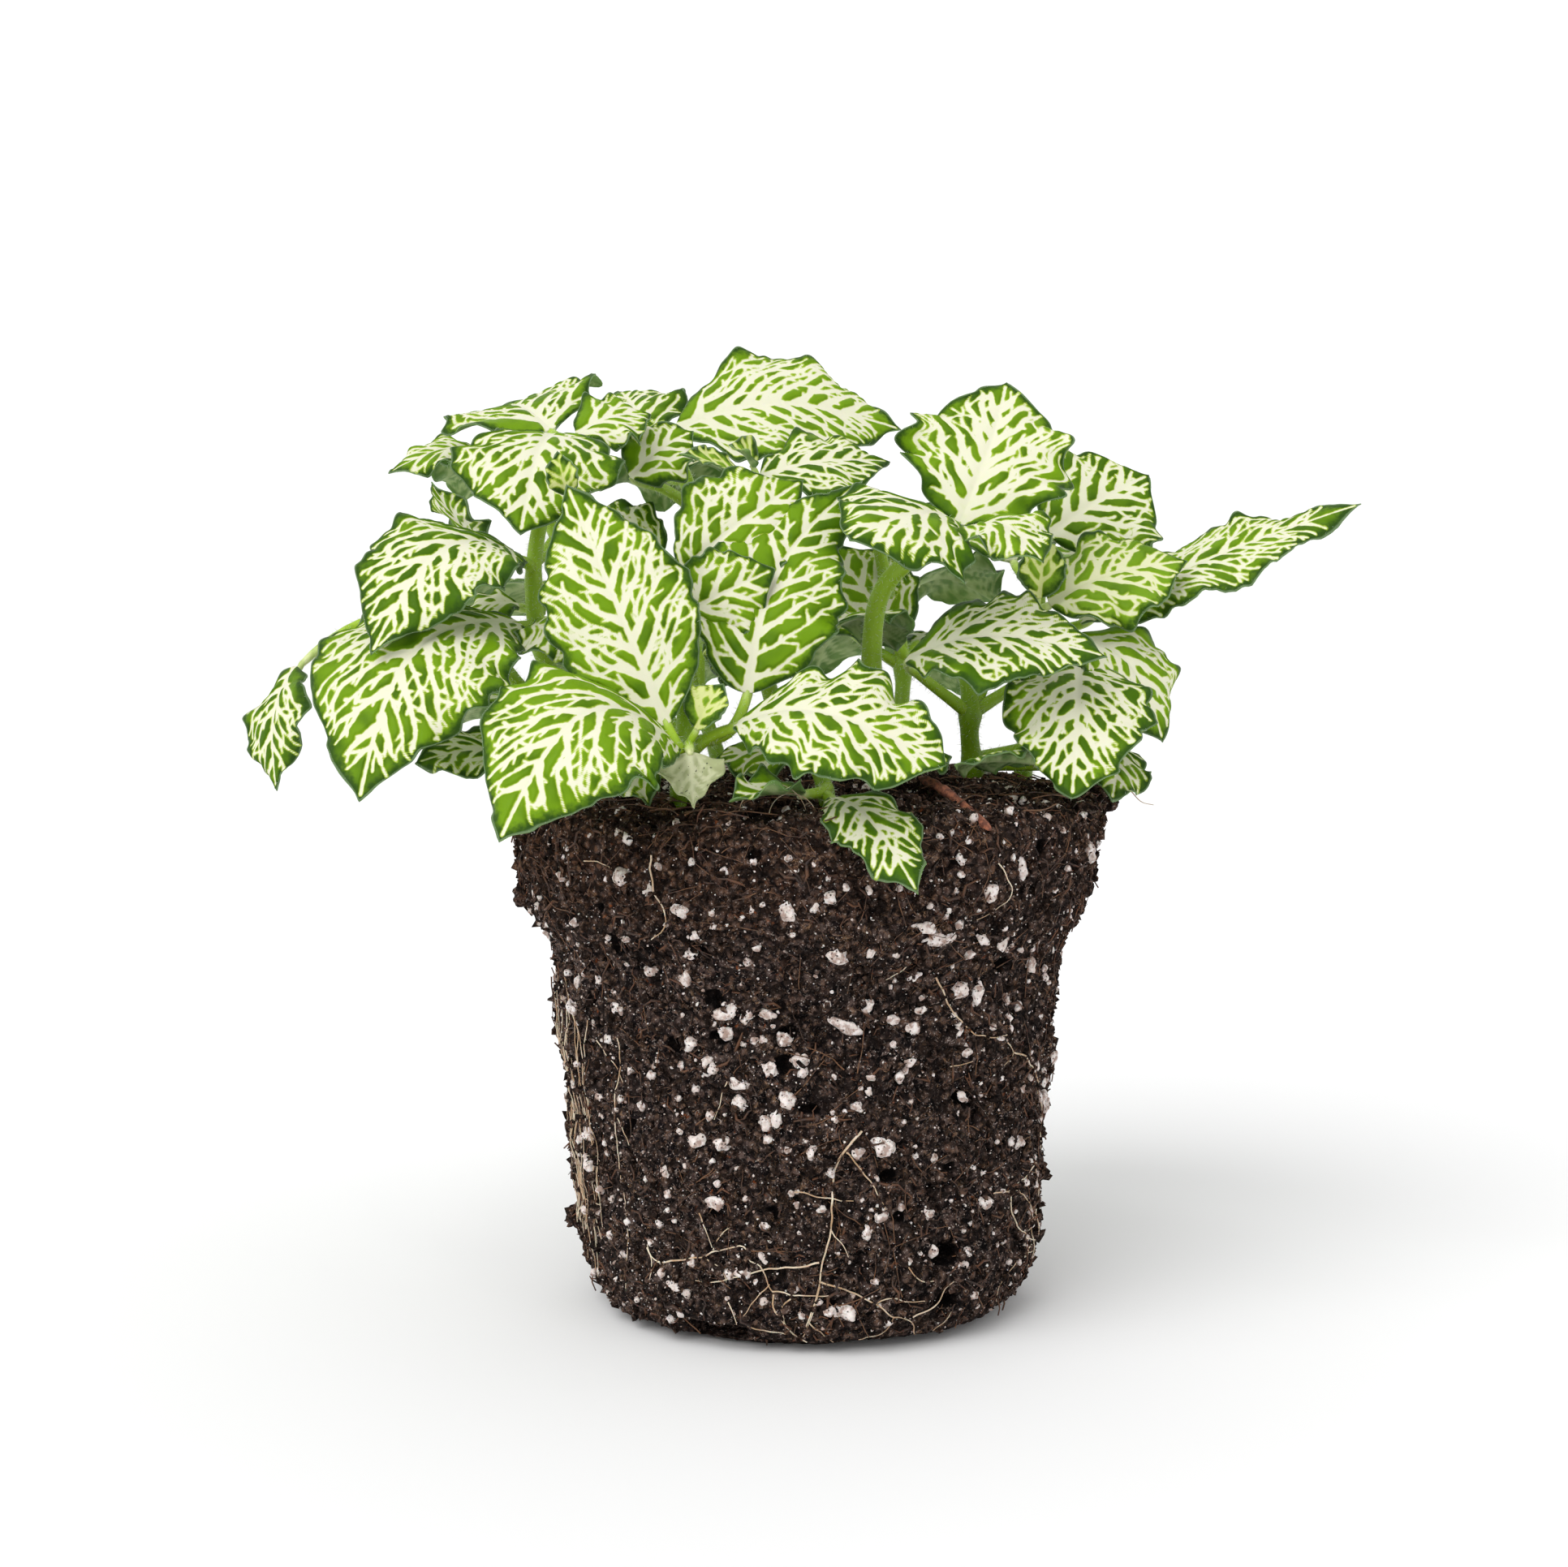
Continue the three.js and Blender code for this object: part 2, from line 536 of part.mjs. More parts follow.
function rootBallSolid() {
  const added = [...grainSolids(), ...rootSolids()];
  let ball = added.reduce((whole, part) => whole.add(part), ballBody());
  Object.values(shoots).forEach(({ radius, stem }) => {
    const [x, y] = stem[0];
    const hole = new THREE.CylinderGeometry(radius + holeGap, radius + holeGap, 20, stemSides + 3);
    const matrix = new THREE.Matrix4().makeRotationX(Math.PI / 2).setPosition(x, y, footZ - holeGap + 10);
    ball = ball.subtract(geometrySolid(hole, matrix));
  });
  const notch = new THREE.Matrix4().makeRotationZ(notchAngle);
  notch.setPosition(44 * Math.cos(notchAngle), 44 * Math.sin(notchAngle), 1);
  return ball.subtract(geometrySolid(new THREE.BoxGeometry(13, 9, 7), notch));
}

// a bit of bark that lies across the front of the soil
function twigSolid() {
  const line = [[21, -17], [24, -27], [28, -39], [31, -50]].map(([x, y]) => {
    return new THREE.Vector3(x, y, soilTopZ(x, y) + 1.7);
  });
  return stalkSolid(new THREE.CatmullRomCurve3(line), 5, 1.1, 0.9, 5);
}

function meshOf(name, solid, colour, roughness) {
  const found = solid.getMesh();
  const geometry = new THREE.BufferGeometry();
  geometry.setAttribute('position', new THREE.BufferAttribute(new Float32Array(found.vertProperties), 3));
  geometry.setIndex(new THREE.BufferAttribute(new Uint32Array(found.triVerts), 1));
  geometry.computeVertexNormals();
  const material = new THREE.MeshStandardMaterial({ color: colour, roughness, metalness: 0 });
  const mesh = new THREE.Mesh(geometry, material);
  mesh.name = name;
  return mesh;
}

const group = new THREE.Group();
group.name = 'nerve_plant';
group.add(meshOf('root_ball', rootBallSolid(), soilBrown, 0.95));
Object.entries(shoots).forEach(([name, shoot]) => {
  group.add(meshOf(name, shootSolid(shoot), leafGreen, 0.5));
});
group.add(meshOf('twig', twigSolid(), barkBrown, 0.85));

export default group;
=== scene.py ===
import json
import math

import bmesh
import bpy
import numpy as np
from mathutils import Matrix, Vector

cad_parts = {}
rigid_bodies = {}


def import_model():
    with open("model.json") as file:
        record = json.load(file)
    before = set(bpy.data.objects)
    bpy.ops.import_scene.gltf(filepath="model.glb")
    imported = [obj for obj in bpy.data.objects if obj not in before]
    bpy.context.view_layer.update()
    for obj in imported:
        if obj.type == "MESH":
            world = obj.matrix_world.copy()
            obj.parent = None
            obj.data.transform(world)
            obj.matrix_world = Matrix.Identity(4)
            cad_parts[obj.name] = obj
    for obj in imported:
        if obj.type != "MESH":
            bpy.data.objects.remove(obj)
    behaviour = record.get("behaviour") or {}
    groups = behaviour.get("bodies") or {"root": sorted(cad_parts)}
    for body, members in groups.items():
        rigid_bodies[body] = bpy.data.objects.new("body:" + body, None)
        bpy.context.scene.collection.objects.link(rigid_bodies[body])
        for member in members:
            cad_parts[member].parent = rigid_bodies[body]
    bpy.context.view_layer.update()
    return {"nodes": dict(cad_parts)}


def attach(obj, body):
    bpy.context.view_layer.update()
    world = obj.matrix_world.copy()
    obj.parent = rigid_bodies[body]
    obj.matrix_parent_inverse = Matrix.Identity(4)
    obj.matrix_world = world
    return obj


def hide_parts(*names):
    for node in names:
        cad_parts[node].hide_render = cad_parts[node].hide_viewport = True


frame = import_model()
print("frame loaded:", len(frame["nodes"]), "nodes")

mm = 0.001


def unit(a):
    return a / np.linalg.norm(a, axis=-1, keepdims=True)


def smoothStep(low, high, x):
    t = np.clip((x - low) / (high - low), 0, 1)
    return t * t * (3 - 2 * t)


def hashed(cells, seed):
    # one repeatable number from 0 to 1 for each whole-number cell; the large primes mix the bits
    lowBits = 0xFFFFFFFF
    c = cells.astype(np.int64) & lowBits
    mixed = (c[..., 0] * 73856093) ^ (c[..., 1] * 19349663) ^ (c[..., 2] * 83492791) ^ (seed * 2654435761)
    mixed &= lowBits
    mixed = ((mixed ^ (mixed >> 15)) * 2246822519) & lowBits
    mixed = ((mixed ^ (mixed >> 13)) * 3266489917) & lowBits
    return ((mixed ^ (mixed >> 16)) & lowBits) / lowBits


# turns the cells of the noise, so that none of them shows as a square
noiseTurn = np.array([[0.36, 0.48, -0.8], [-0.8, 0.6, 0.0], [0.48, 0.64, 0.6]])


def softNoise(points, size, seed):
    # smooth noise from -1 to 1, with features about as large as size
    p = points @ noiseTurn / size + seed * 3.71
    cell = np.floor(p)
    f = p - cell
    f = f * f * f * (f * (6 * f - 15) + 10)
    total = np.zeros(points.shape[:-1])
    for corner in np.ndindex(2, 2, 2):
        step = np.array(corner)
        weight = np.prod(np.where(step == 1, f, 1 - f), axis=-1)
        total += weight * hashed(cell + step, seed)
    return total * 2 - 1


def crumbNoise(points, size, seed):
    # 0 at the middle of a crumb, up to about 1 in the gaps between crumbs
    p = points / size
    cell = np.floor(p)
    nearest = np.full(points.shape[:-1], 9.0)
    for corner in np.ndindex(3, 3, 3):
        near = cell + np.array(corner) - 1
        centre = near + np.stack([hashed(near, seed + k) for k in range(3)], axis=-1)
        nearest = np.minimum(nearest, np.linalg.norm(p - centre, axis=-1))
    return nearest


def runAlong(line):
    # distance along a line at each of its points
    return np.concatenate([[0], np.cumsum(np.linalg.norm(np.diff(line, axis=0), axis=1))])


def smoothPath(points, count):
    # centripetal curve through the points, as the CAD part draws its stems, with points evenly apart
    perSpan = 24
    p = np.array(points, float)
    p = np.vstack([2 * p[0] - p[1], p, 2 * p[-1] - p[-2]])
    dense = []
    for i in range(1, len(p) - 2):
        a, b, c, d = p[i - 1:i + 3]
        k1 = np.linalg.norm(b - a) ** 0.5
        k2 = k1 + np.linalg.norm(c - b) ** 0.5
        k3 = k2 + np.linalg.norm(d - c) ** 0.5
        s = np.linspace(k1, k2, perSpan, endpoint=i == len(p) - 3)[:, None]
        ab = (k1 - s) / k1 * a + s / k1 * b
        bc = (k2 - s) / (k2 - k1) * b + (s - k1) / (k2 - k1) * c
        cd = (k3 - s) / (k3 - k2) * c + (s - k2) / (k3 - k2) * d
        abc = (k2 - s) / k2 * ab + s / k2 * bc
        bcd = (k3 - s) / (k3 - k1) * bc + (s - k1) / (k3 - k1) * cd
        dense.append((k2 - s) / (k2 - k1) * abc + (s - k1) / (k2 - k1) * bcd)
    dense = np.vstack(dense)
    run = runAlong(dense)
    at = np.linspace(0, run[-1], count)
    return np.stack([np.interp(at, run, dense[:, k]) for k in range(3)], axis=1)


class MeshBag:
    # collects points, faces and point values of many shapes, then makes one mesh of them
    def __init__(self):
        self.points, self.quads, self.triangles, self.values, self.count = [], [], [], {}, 0

    def add(self, points, quads, triangles, **values):
        self.points.append(np.asarray(points, float))
        if len(quads):
            self.quads.append(np.asarray(quads) + self.count)
        if len(triangles):
            self.triangles.append(np.asarray(triangles) + self.count)
        for name, value in values.items():
            filled = np.broadcast_to(np.asarray(value, float), (len(points),))
            self.values.setdefault(name, []).append(filled)
        self.count += len(points)

    def build(self, name, material):
        points = np.vstack(self.points) * mm
        quads = np.vstack(self.quads) if self.quads else np.zeros((0, 4), int)
        triangles = np.vstack(self.triangles) if self.triangles else np.zeros((0, 3), int)
        mesh = bpy.data.meshes.new(name)
        mesh.vertices.add(len(points))
        mesh.vertices.foreach_set("co", points.astype(np.float32).ravel())
        corners = np.concatenate([quads.ravel(), triangles.ravel()]).astype(np.int32)
        mesh.loops.add(len(corners))
        mesh.loops.foreach_set("vertex_index", corners)
        mesh.polygons.add(len(quads) + len(triangles))
        starts = np.concatenate([
            np.arange(len(quads)) * 4,
            len(quads) * 4 + np.arange(len(triangles)) * 3,
        ])
        mesh.polygons.foreach_set("loop_start", starts.astype(np.int32))
        mesh.update(calc_edges=True)
        mesh.validate()
        mesh.polygons.foreach_set("use_smooth", np.ones(len(mesh.polygons), bool))
        for label, chunks in self.values.items():
            attribute = mesh.attributes.new(label, "FLOAT", "POINT")
            attribute.data.foreach_set("value", np.concatenate(chunks).astype(np.float32))
        mesh.materials.append(material)
        made = bpy.data.objects.new(name, mesh)
        bpy.context.scene.collection.objects.link(made)
        return made


def ringFaces(count, sides):
    # faces of a row of rings that one more point closes at each end
    i, j = np.meshgrid(np.arange(count - 1), np.arange(sides), indexing="ij")
    a, b = i * sides + j, i * sides + (j + 1) % sides
    quads = np.stack([a, b, b + sides, a + sides], axis=-1).reshape(-1, 4)
    j = np.arange(sides)
    last = (count - 1) * sides
    foot = np.stack([np.full(sides, count * sides), (j + 1) % sides, j], axis=-1)
    head = np.stack([np.full(sides, count * sides + 1), last + j, last + (j + 1) % sides], axis=-1)
    return quads, np.vstack([foot, head])


def tubeShape(path, radii, sides):
    # closed round tube along a path, with a blunt cone at both ends
    ahead = unit(np.gradient(path, axis=0))
    across = np.cross(ahead[0], [0.31, 0.52, 0.79])
    rings = []
    for i, direction in enumerate(ahead):
        across = unit(across - np.dot(across, direction) * direction)
        up = np.cross(direction, across)
        angle = np.linspace(0, 2 * math.pi, sides, endpoint=False)[:, None]
        rings.append(path[i] + radii[i] * (np.cos(angle) * across + np.sin(angle) * up))
    ends = [path[0] - 0.5 * radii[0] * ahead[0], path[-1] + 0.5 * radii[-1] * ahead[-1]]
    return np.vstack(rings + [ends]), *ringFaces(len(path), sides)


def settle(piece, slotName, *nodes):
    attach(piece, "root")
    if nodes:
        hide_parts(*nodes)
    return piece


class Painter:
    # a material whose nodes are added by short calls
    def __init__(self, name):
        self.material = bpy.data.materials.new(name)
        self.material.use_nodes = True
        self.tree = self.material.node_tree
        self.shader = self.tree.nodes["Principled BSDF"]

    def make(self, kind, **settings):
        made = self.tree.nodes.new(kind)
        for key, value in settings.items():
            setattr(made, key, value)
        return made

    def plug(self, value, socket):
        if isinstance(value, bpy.types.NodeSocket):
            self.tree.links.new(value, socket)
        elif value is not None:
            socket.default_value = value

    def attribute(self, name):
        return self.make("ShaderNodeAttribute", attribute_name=name).outputs["Fac"]

    def noise(self, size, detail=3.0, stretch=(1, 1, 1), distortion=0.0):
        # noise whose features are about size millimetres, fixed to the piece
        place = self.make("ShaderNodeTexCoord").outputs["Object"]
        mapping = self.make("ShaderNodeMapping")
        mapping.inputs["Scale"].default_value = stretch
        texture = self.make("ShaderNodeTexNoise")
        texture.inputs["Scale"].default_value = 1 / (size * mm)
        texture.inputs["Detail"].default_value = detail
        texture.inputs["Roughness"].default_value = 0.55
        texture.inputs["Distortion"].default_value = distortion
        self.tree.links.new(place, mapping.inputs["Vector"])
        self.tree.links.new(mapping.outputs["Vector"], texture.inputs["Vector"])
        return texture.outputs["Fac"]

    def cells(self, size):
        # small cells of about size millimetres, each with a distance and a colour
        place = self.make("ShaderNodeTexCoord").outputs["Object"]
        texture = self.make("ShaderNodeTexVoronoi", feature="F1")
        texture.inputs["Scale"].default_value = 1 / (size * mm)
        self.tree.links.new(place, texture.inputs["Vector"])
        return texture

    def math(self, operation, a, b=None):
        node = self.make("ShaderNodeMath", operation=operation)
        for value, socket in zip((a, b), node.inputs):
            self.plug(value, socket)
        return node.outputs[0]

    def ramp(self, value, low, high, toLow=0.0, toHigh=1.0):
        # a soft step from toLow, where the value is low, to toHigh, where it is high
        node = self.make("ShaderNodeMapRange", interpolation_type="SMOOTHSTEP")
        self.plug(value, node.inputs["Value"])
        for name, number in (("From Min", low), ("From Max", high), ("To Min", toLow), ("To Max", toHigh)):
            node.inputs[name].default_value = number
        return node.outputs["Result"]

    def mix(self, share, a, b):
        # sockets 6, 7 and 2 are the colour ones of the Mix node
        node = self.make("ShaderNodeMix", data_type="RGBA")
        self.plug(share, node.inputs["Factor"])
        self.plug(a, node.inputs[6])
        self.plug(b, node.inputs[7])
        return node.outputs[2]

    def bump(self, height, distance, strength=1.0):
        node = self.make("ShaderNodeBump")
        node.inputs["Strength"].default_value = strength
        node.inputs["Distance"].default_value = distance * mm
        self.plug(height, node.inputs["Height"])
        self.plug(node.outputs["Normal"], self.shader.inputs["Normal"])

    def set(self, **values):
        # sockets of the shader by name, with _ for a space
        for name, value in values.items():
            self.plug(value, self.shader.inputs[name.replace("_", " ")])


def colour(red, green, blue):
    # screen colour from 0 to 255 as a linear colour
    def linear(c):
        c = c / 255
        return c / 12.92 if c <= 0.04045 else ((c + 0.055) / 1.055) ** 2.4
    return (linear(red), linear(green), linear(blue), 1.0)


def newTree(name, sockets):
    tree = bpy.data.node_groups.new(name, "GeometryNodeTree")
    tree.interface.new_socket("Geometry", in_out="INPUT", socket_type="NodeSocketGeometry")
    for label, kind in sockets:
        tree.interface.new_socket(label, in_out="INPUT", socket_type="NodeSocket" + kind)
    tree.interface.new_socket("Geometry", in_out="OUTPUT", socket_type="NodeSocketGeometry")
    return tree, tree.nodes.new("NodeGroupInput"), tree.nodes.new("NodeGroupOutput")


def scatterTree():
    # points on the faces, one of several shapes on each, sunk, turned and sized at random
    tree, given, result = newTree("scatter", [
        ("Shapes", "Collection"), ("Density", "Float"), ("Spacing", "Float"), ("Seed", "Int"),
        ("Smallest", "Float"), ("Largest", "Float"), ("Rarity", "Float"), ("Sink", "Float"),
        ("Tilt", "Float"), ("Material", "Material"),
    ])
    link = tree.links.new
    points = tree.nodes.new("GeometryNodeDistributePointsOnFaces")
    points.distribute_method = "POISSON"
    hold = tree.nodes.new("GeometryNodeInputNamedAttribute")
    hold.data_type = "FLOAT"
    hold.inputs["Name"].default_value = "hold"
    link(given.outputs["Geometry"], points.inputs["Mesh"])
    link(given.outputs["Spacing"], points.inputs["Distance Min"])
    link(given.outputs["Density"], points.inputs["Density Max"])
    link(hold.outputs["Attribute"], points.inputs["Density Factor"])
    link(given.outputs["Seed"], points.inputs["Seed"])

    chance = tree.nodes.new("FunctionNodeRandomValue")
    link(given.outputs["Seed"], chance.inputs["Seed"])
    rarer = tree.nodes.new("ShaderNodeMath")
    rarer.operation = "POWER"
    link(chance.outputs[1], rarer.inputs[0])
    link(given.outputs["Rarity"], rarer.inputs[1])
    size = tree.nodes.new("ShaderNodeMapRange")
    link(rarer.outputs[0], size.inputs["Value"])
    link(given.outputs["Smallest"], size.inputs["To Min"])
    link(given.outputs["Largest"], size.inputs["To Max"])

    depth = tree.nodes.new("ShaderNodeMath")
    depth.operation = "MULTIPLY"
    link(size.outputs["Result"], depth.inputs[0])
    link(given.outputs["Sink"], depth.inputs[1])
    inward = tree.nodes.new("ShaderNodeVectorMath")
    inward.operation = "SCALE"
    link(points.outputs["Normal"], inward.inputs[0])
    link(depth.outputs[0], inward.inputs["Scale"])
    lower = tree.nodes.new("ShaderNodeVectorMath")
    lower.operation = "SCALE"
    lower.inputs["Scale"].default_value = -1
    link(inward.outputs[0], lower.inputs[0])
    sunk = tree.nodes.new("GeometryNodeSetPosition")
    link(points.outputs["Points"], sunk.inputs["Geometry"])
    link(lower.outputs[0], sunk.inputs["Offset"])

    tilt = tree.nodes.new("FunctionNodeRandomValue")
    tilt.data_type = "FLOAT_VECTOR"
    reach = tree.nodes.new("ShaderNodeCombineXYZ")
    back = tree.nodes.new("ShaderNodeCombineXYZ")
    negative = tree.nodes.new("ShaderNodeMath")
    negative.operation = "MULTIPLY"
    negative.inputs[1].default_value = -1
    link(given.outputs["Tilt"], negative.inputs[0])
    for axis in ("X", "Y"):
        link(given.outputs["Tilt"], reach.inputs[axis])
        link(negative.outputs[0], back.inputs[axis])
    reach.inputs["Z"].default_value = math.pi
    back.inputs["Z"].default_value = -math.pi
    link(back.outputs[0], tilt.inputs[0])
    link(reach.outputs[0], tilt.inputs[1])
    link(given.outputs["Seed"], tilt.inputs["Seed"])
    turn = tree.nodes.new("FunctionNodeEulerToRotation")
    link(tilt.outputs[0], turn.inputs[0])
    turned = tree.nodes.new("FunctionNodeRotateRotation")
    turned.rotation_space = "LOCAL"
    link(points.outputs["Rotation"], turned.inputs["Rotation"])
    link(turn.outputs[0], turned.inputs["Rotate By"])

    shapes = tree.nodes.new("GeometryNodeCollectionInfo")
    shapes.inputs["Separate Children"].default_value = True
    shapes.inputs["Reset Children"].default_value = True
    link(given.outputs["Shapes"], shapes.inputs["Collection"])
    placed = tree.nodes.new("GeometryNodeInstanceOnPoints")
    placed.inputs["Pick Instance"].default_value = True
    link(sunk.outputs["Geometry"], placed.inputs["Points"])
    link(shapes.outputs["Instances"], placed.inputs["Instance"])
    link(turned.outputs["Rotation"], placed.inputs["Rotation"])
    link(size.outputs["Result"], placed.inputs["Scale"])
    real = tree.nodes.new("GeometryNodeRealizeInstances")
    link(placed.outputs["Instances"], real.inputs["Geometry"])
    finish = tree.nodes.new("GeometryNodeSetMaterial")
    link(real.outputs["Geometry"], finish.inputs["Geometry"])
    link(given.outputs["Material"], finish.inputs["Material"])
    link(finish.outputs["Geometry"], result.inputs["Geometry"])
    return tree


def strandTree():
    # round strands along the edges of a mesh, as thick as each point's own value says
    tree, given, result = newTree("strands", [("Sides", "Int"), ("Material", "Material")])
    link = tree.links.new
    curve = tree.nodes.new("GeometryNodeMeshToCurve")
    link(given.outputs["Geometry"], curve.inputs["Mesh"])
    ring = tree.nodes.new("GeometryNodeCurvePrimitiveCircle")
    ring.inputs["Radius"].default_value = 1.0
    link(given.outputs["Sides"], ring.inputs["Resolution"])
    thick = tree.nodes.new("GeometryNodeInputNamedAttribute")
    thick.data_type = "FLOAT"
    thick.inputs["Name"].default_value = "thick"
    tube = tree.nodes.new("GeometryNodeCurveToMesh")
    tube.inputs["Fill Caps"].default_value = True
    link(curve.outputs["Curve"], tube.inputs["Curve"])
    link(ring.outputs["Curve"], tube.inputs["Profile Curve"])
    link(thick.outputs["Attribute"], tube.inputs["Scale"])
    real = tree.nodes.new("GeometryNodeRealizeInstances")
    link(tube.outputs["Mesh"], real.inputs["Geometry"])
    finish = tree.nodes.new("GeometryNodeSetMaterial")
    link(real.outputs["Geometry"], finish.inputs["Geometry"])
    link(given.outputs["Material"], finish.inputs["Material"])
    link(finish.outputs["Geometry"], result.inputs["Geometry"])
    return tree


def runTree(tree, carrier, name, smooth=True, **values):
    # runs a tree on a mesh and keeps the result as a plain mesh of its own
    modifier = carrier.modifiers.new(tree.name, "NODES")
    modifier.node_group = tree
    for item in tree.interface.items_tree:
        if item.item_type == "SOCKET" and item.in_out == "INPUT" and item.name in values:
            modifier[item.identifier] = values[item.name]
    carrier.update_tag()
    graph = bpy.context.evaluated_depsgraph_get()
    mesh = bpy.data.meshes.new_from_object(carrier.evaluated_get(graph))
    carrier.modifiers.remove(modifier)
    mesh.name = name
    if smooth:
        mesh.polygons.foreach_set("use_smooth", np.ones(len(mesh.polygons), bool))
    made = bpy.data.objects.new(name, mesh)
    bpy.context.scene.collection.objects.link(made)
    return made


def shapeCollection(name, shapes):
    holder = bpy.data.collections.new(name)
    for shape in shapes:
        for owner in list(shape.users_collection):
            owner.objects.unlink(shape)
        holder.objects.link(shape)
    return holder


def dropCollection(holder):
    for shape in list(holder.objects):
        bpy.data.objects.remove(shape)
    bpy.data.collections.remove(holder)


scatter = scatterTree()
strands = strandTree()


blade = {
    "grid": 0.33,           # distance between the points of a blade
    "gridBehind": 0.55,     # and of the blades that stand behind the plant's middle
    "behind": 28,           # Y from which a blade counts as one of those
    "usualWidth": 30,       # crinkles and keel are given for a leaf this wide
    "thickness": 0.42,
    "puff": 0.26,           # how far the green islands rise between the veins
    "rib": 1.0,             # height of the midrib under the leaf
    "groove": 0.5,          # depth of the groove over the midrib
    "crisp": 2.8,           # how far the margin curls up and down
    "crispSizes": (4.2, 2.0),
    "lobe": 1.5,            # how far the margin goes in and out
    "lobeSizes": (3.4, 1.9),
    "uneven": 0.45,         # slow bulges of the whole blade
}

# angles in degrees, and widths as half widths on a leaf about 30 wide
veins = {
    "cell": 0.15,           # grid of the map that the veins are drawn on
    "step": 0.42,           # length of one straight piece of a vein
    "laterals": 7,          # side veins on each side of a leaf 50 long
    "baseAngle": 52,        # between the first side veins and the midrib
    "tipAngle": 30,
    "fan": 26,              # how much wider the very first side veins spread
    "fanReach": 0.08,       # share of the leaf over which that fades
    "forward": 0.38,        # how much a side vein turns to the tip on its way out
    "midrib": 1.2,          # where the stalk meets the blade
    "lateral": 0.6,
    "between": 0.35,
    "thinnest": 0.23,
    "wobble": 0.06,         # random turn at each step
    "lookAhead": 1.1,       # how far ahead a vein sees its neighbours
    "steer": 0.16,          # and how much it turns away from the nearer one
    "gap": 1.42,            # a green island wider than twice this gets another vein
    "tries": 900,           # places looked at for such islands
    "forkWithin": 9,        # how far back such a vein may fork from another
    "link": 0.32,           # links to the next vein
    "linkEvery": 5.2,       # distance between them
    "linkAngles": (30, 52),
    "linkLengths": (1.8, 4.6),
    "barb": 0.22,           # short barbs
    "barbEvery": 3.2,
    "barbAngles": (32, 55),
    "barbLengths": (0.9, 2.0),
    "border": 1.5,          # green left round the edge
}

# arch, bend, cup, wave and the stalk's radius are in millimetres, twist and phase in radians
leafDefaults = {
    "arch": 4, "lean": 0.25, "bend": 0, "twist": 0, "cup": -1, "wave": 1.3, "waves": 3, "phase": 0,
    "notch": 0.04, "peak": 0.14, "stalk": 1.15, "via": None, "white": 1.0, "spread": 1.0,
    "blunt": 0.0, "young": 0.0, "faded": 0.0,
}


def leaf(start, base, tip, face, width, **options):
    made = dict(leafDefaults, start=start, base=base, tip=tip, face=face, width=width)
    made.update(options)
    for key in ("start", "base", "tip", "face"):
        made[key] = np.array(made[key], float)
    return made


def youngLeaf(start, base, tip, face, width, **options):
    # still folded along its midrib
    folded = dict(arch=1, cup=1.6, wave=0.3, stalk=0.8, young=0.9, white=0.7)
    folded.update(options)
    return leaf(start, base, tip, face, width, **folded)


def leafFrame(leaf, t):
    # midrib of a leaf from 0 at its base to 1 at its tip: place, direction, upward side, right side
    t = np.asarray(t, float)[:, None]
    chord = leaf["tip"] - leaf["base"]
    length = np.linalg.norm(chord)
    along = chord / length
    up = unit(leaf["face"] - np.dot(leaf["face"], along) * along)
    side = np.cross(along, up)
    shifted = math.pi * (t + leaf["lean"] * t * (1 - t))
    rate = math.pi * (1 + leaf["lean"] * (1 - 2 * t))
    point = leaf["base"] + chord * t + up * leaf["arch"] * np.sin(shifted)
    point = point + side * leaf["bend"] * np.sin(math.pi * t)
    tangent = along * length + up * leaf["arch"] * np.cos(shifted) * rate
    tangent = unit(tangent + side * leaf["bend"] * math.pi * np.cos(math.pi * t))
    normal = unit(up - (tangent @ up)[:, None] * tangent)
    turn = leaf["twist"] * (t - 0.4)
    normal = normal * np.cos(turn) + np.cross(tangent, normal) * np.sin(turn)
    return point, tangent, normal, np.cross(tangent, normal)


def halfWidth(leaf, t):
    # half the blade's width, and how full it is there, from 0 at its ends to 1
    bow = np.sin(math.pi * (t + leaf["peak"] * t * (1 - t)))
    bow = np.maximum(bow, 0)
    return leaf["width"] / 2 * bow ** (0.66 + (0.42 - leaf["blunt"]) * t), bow


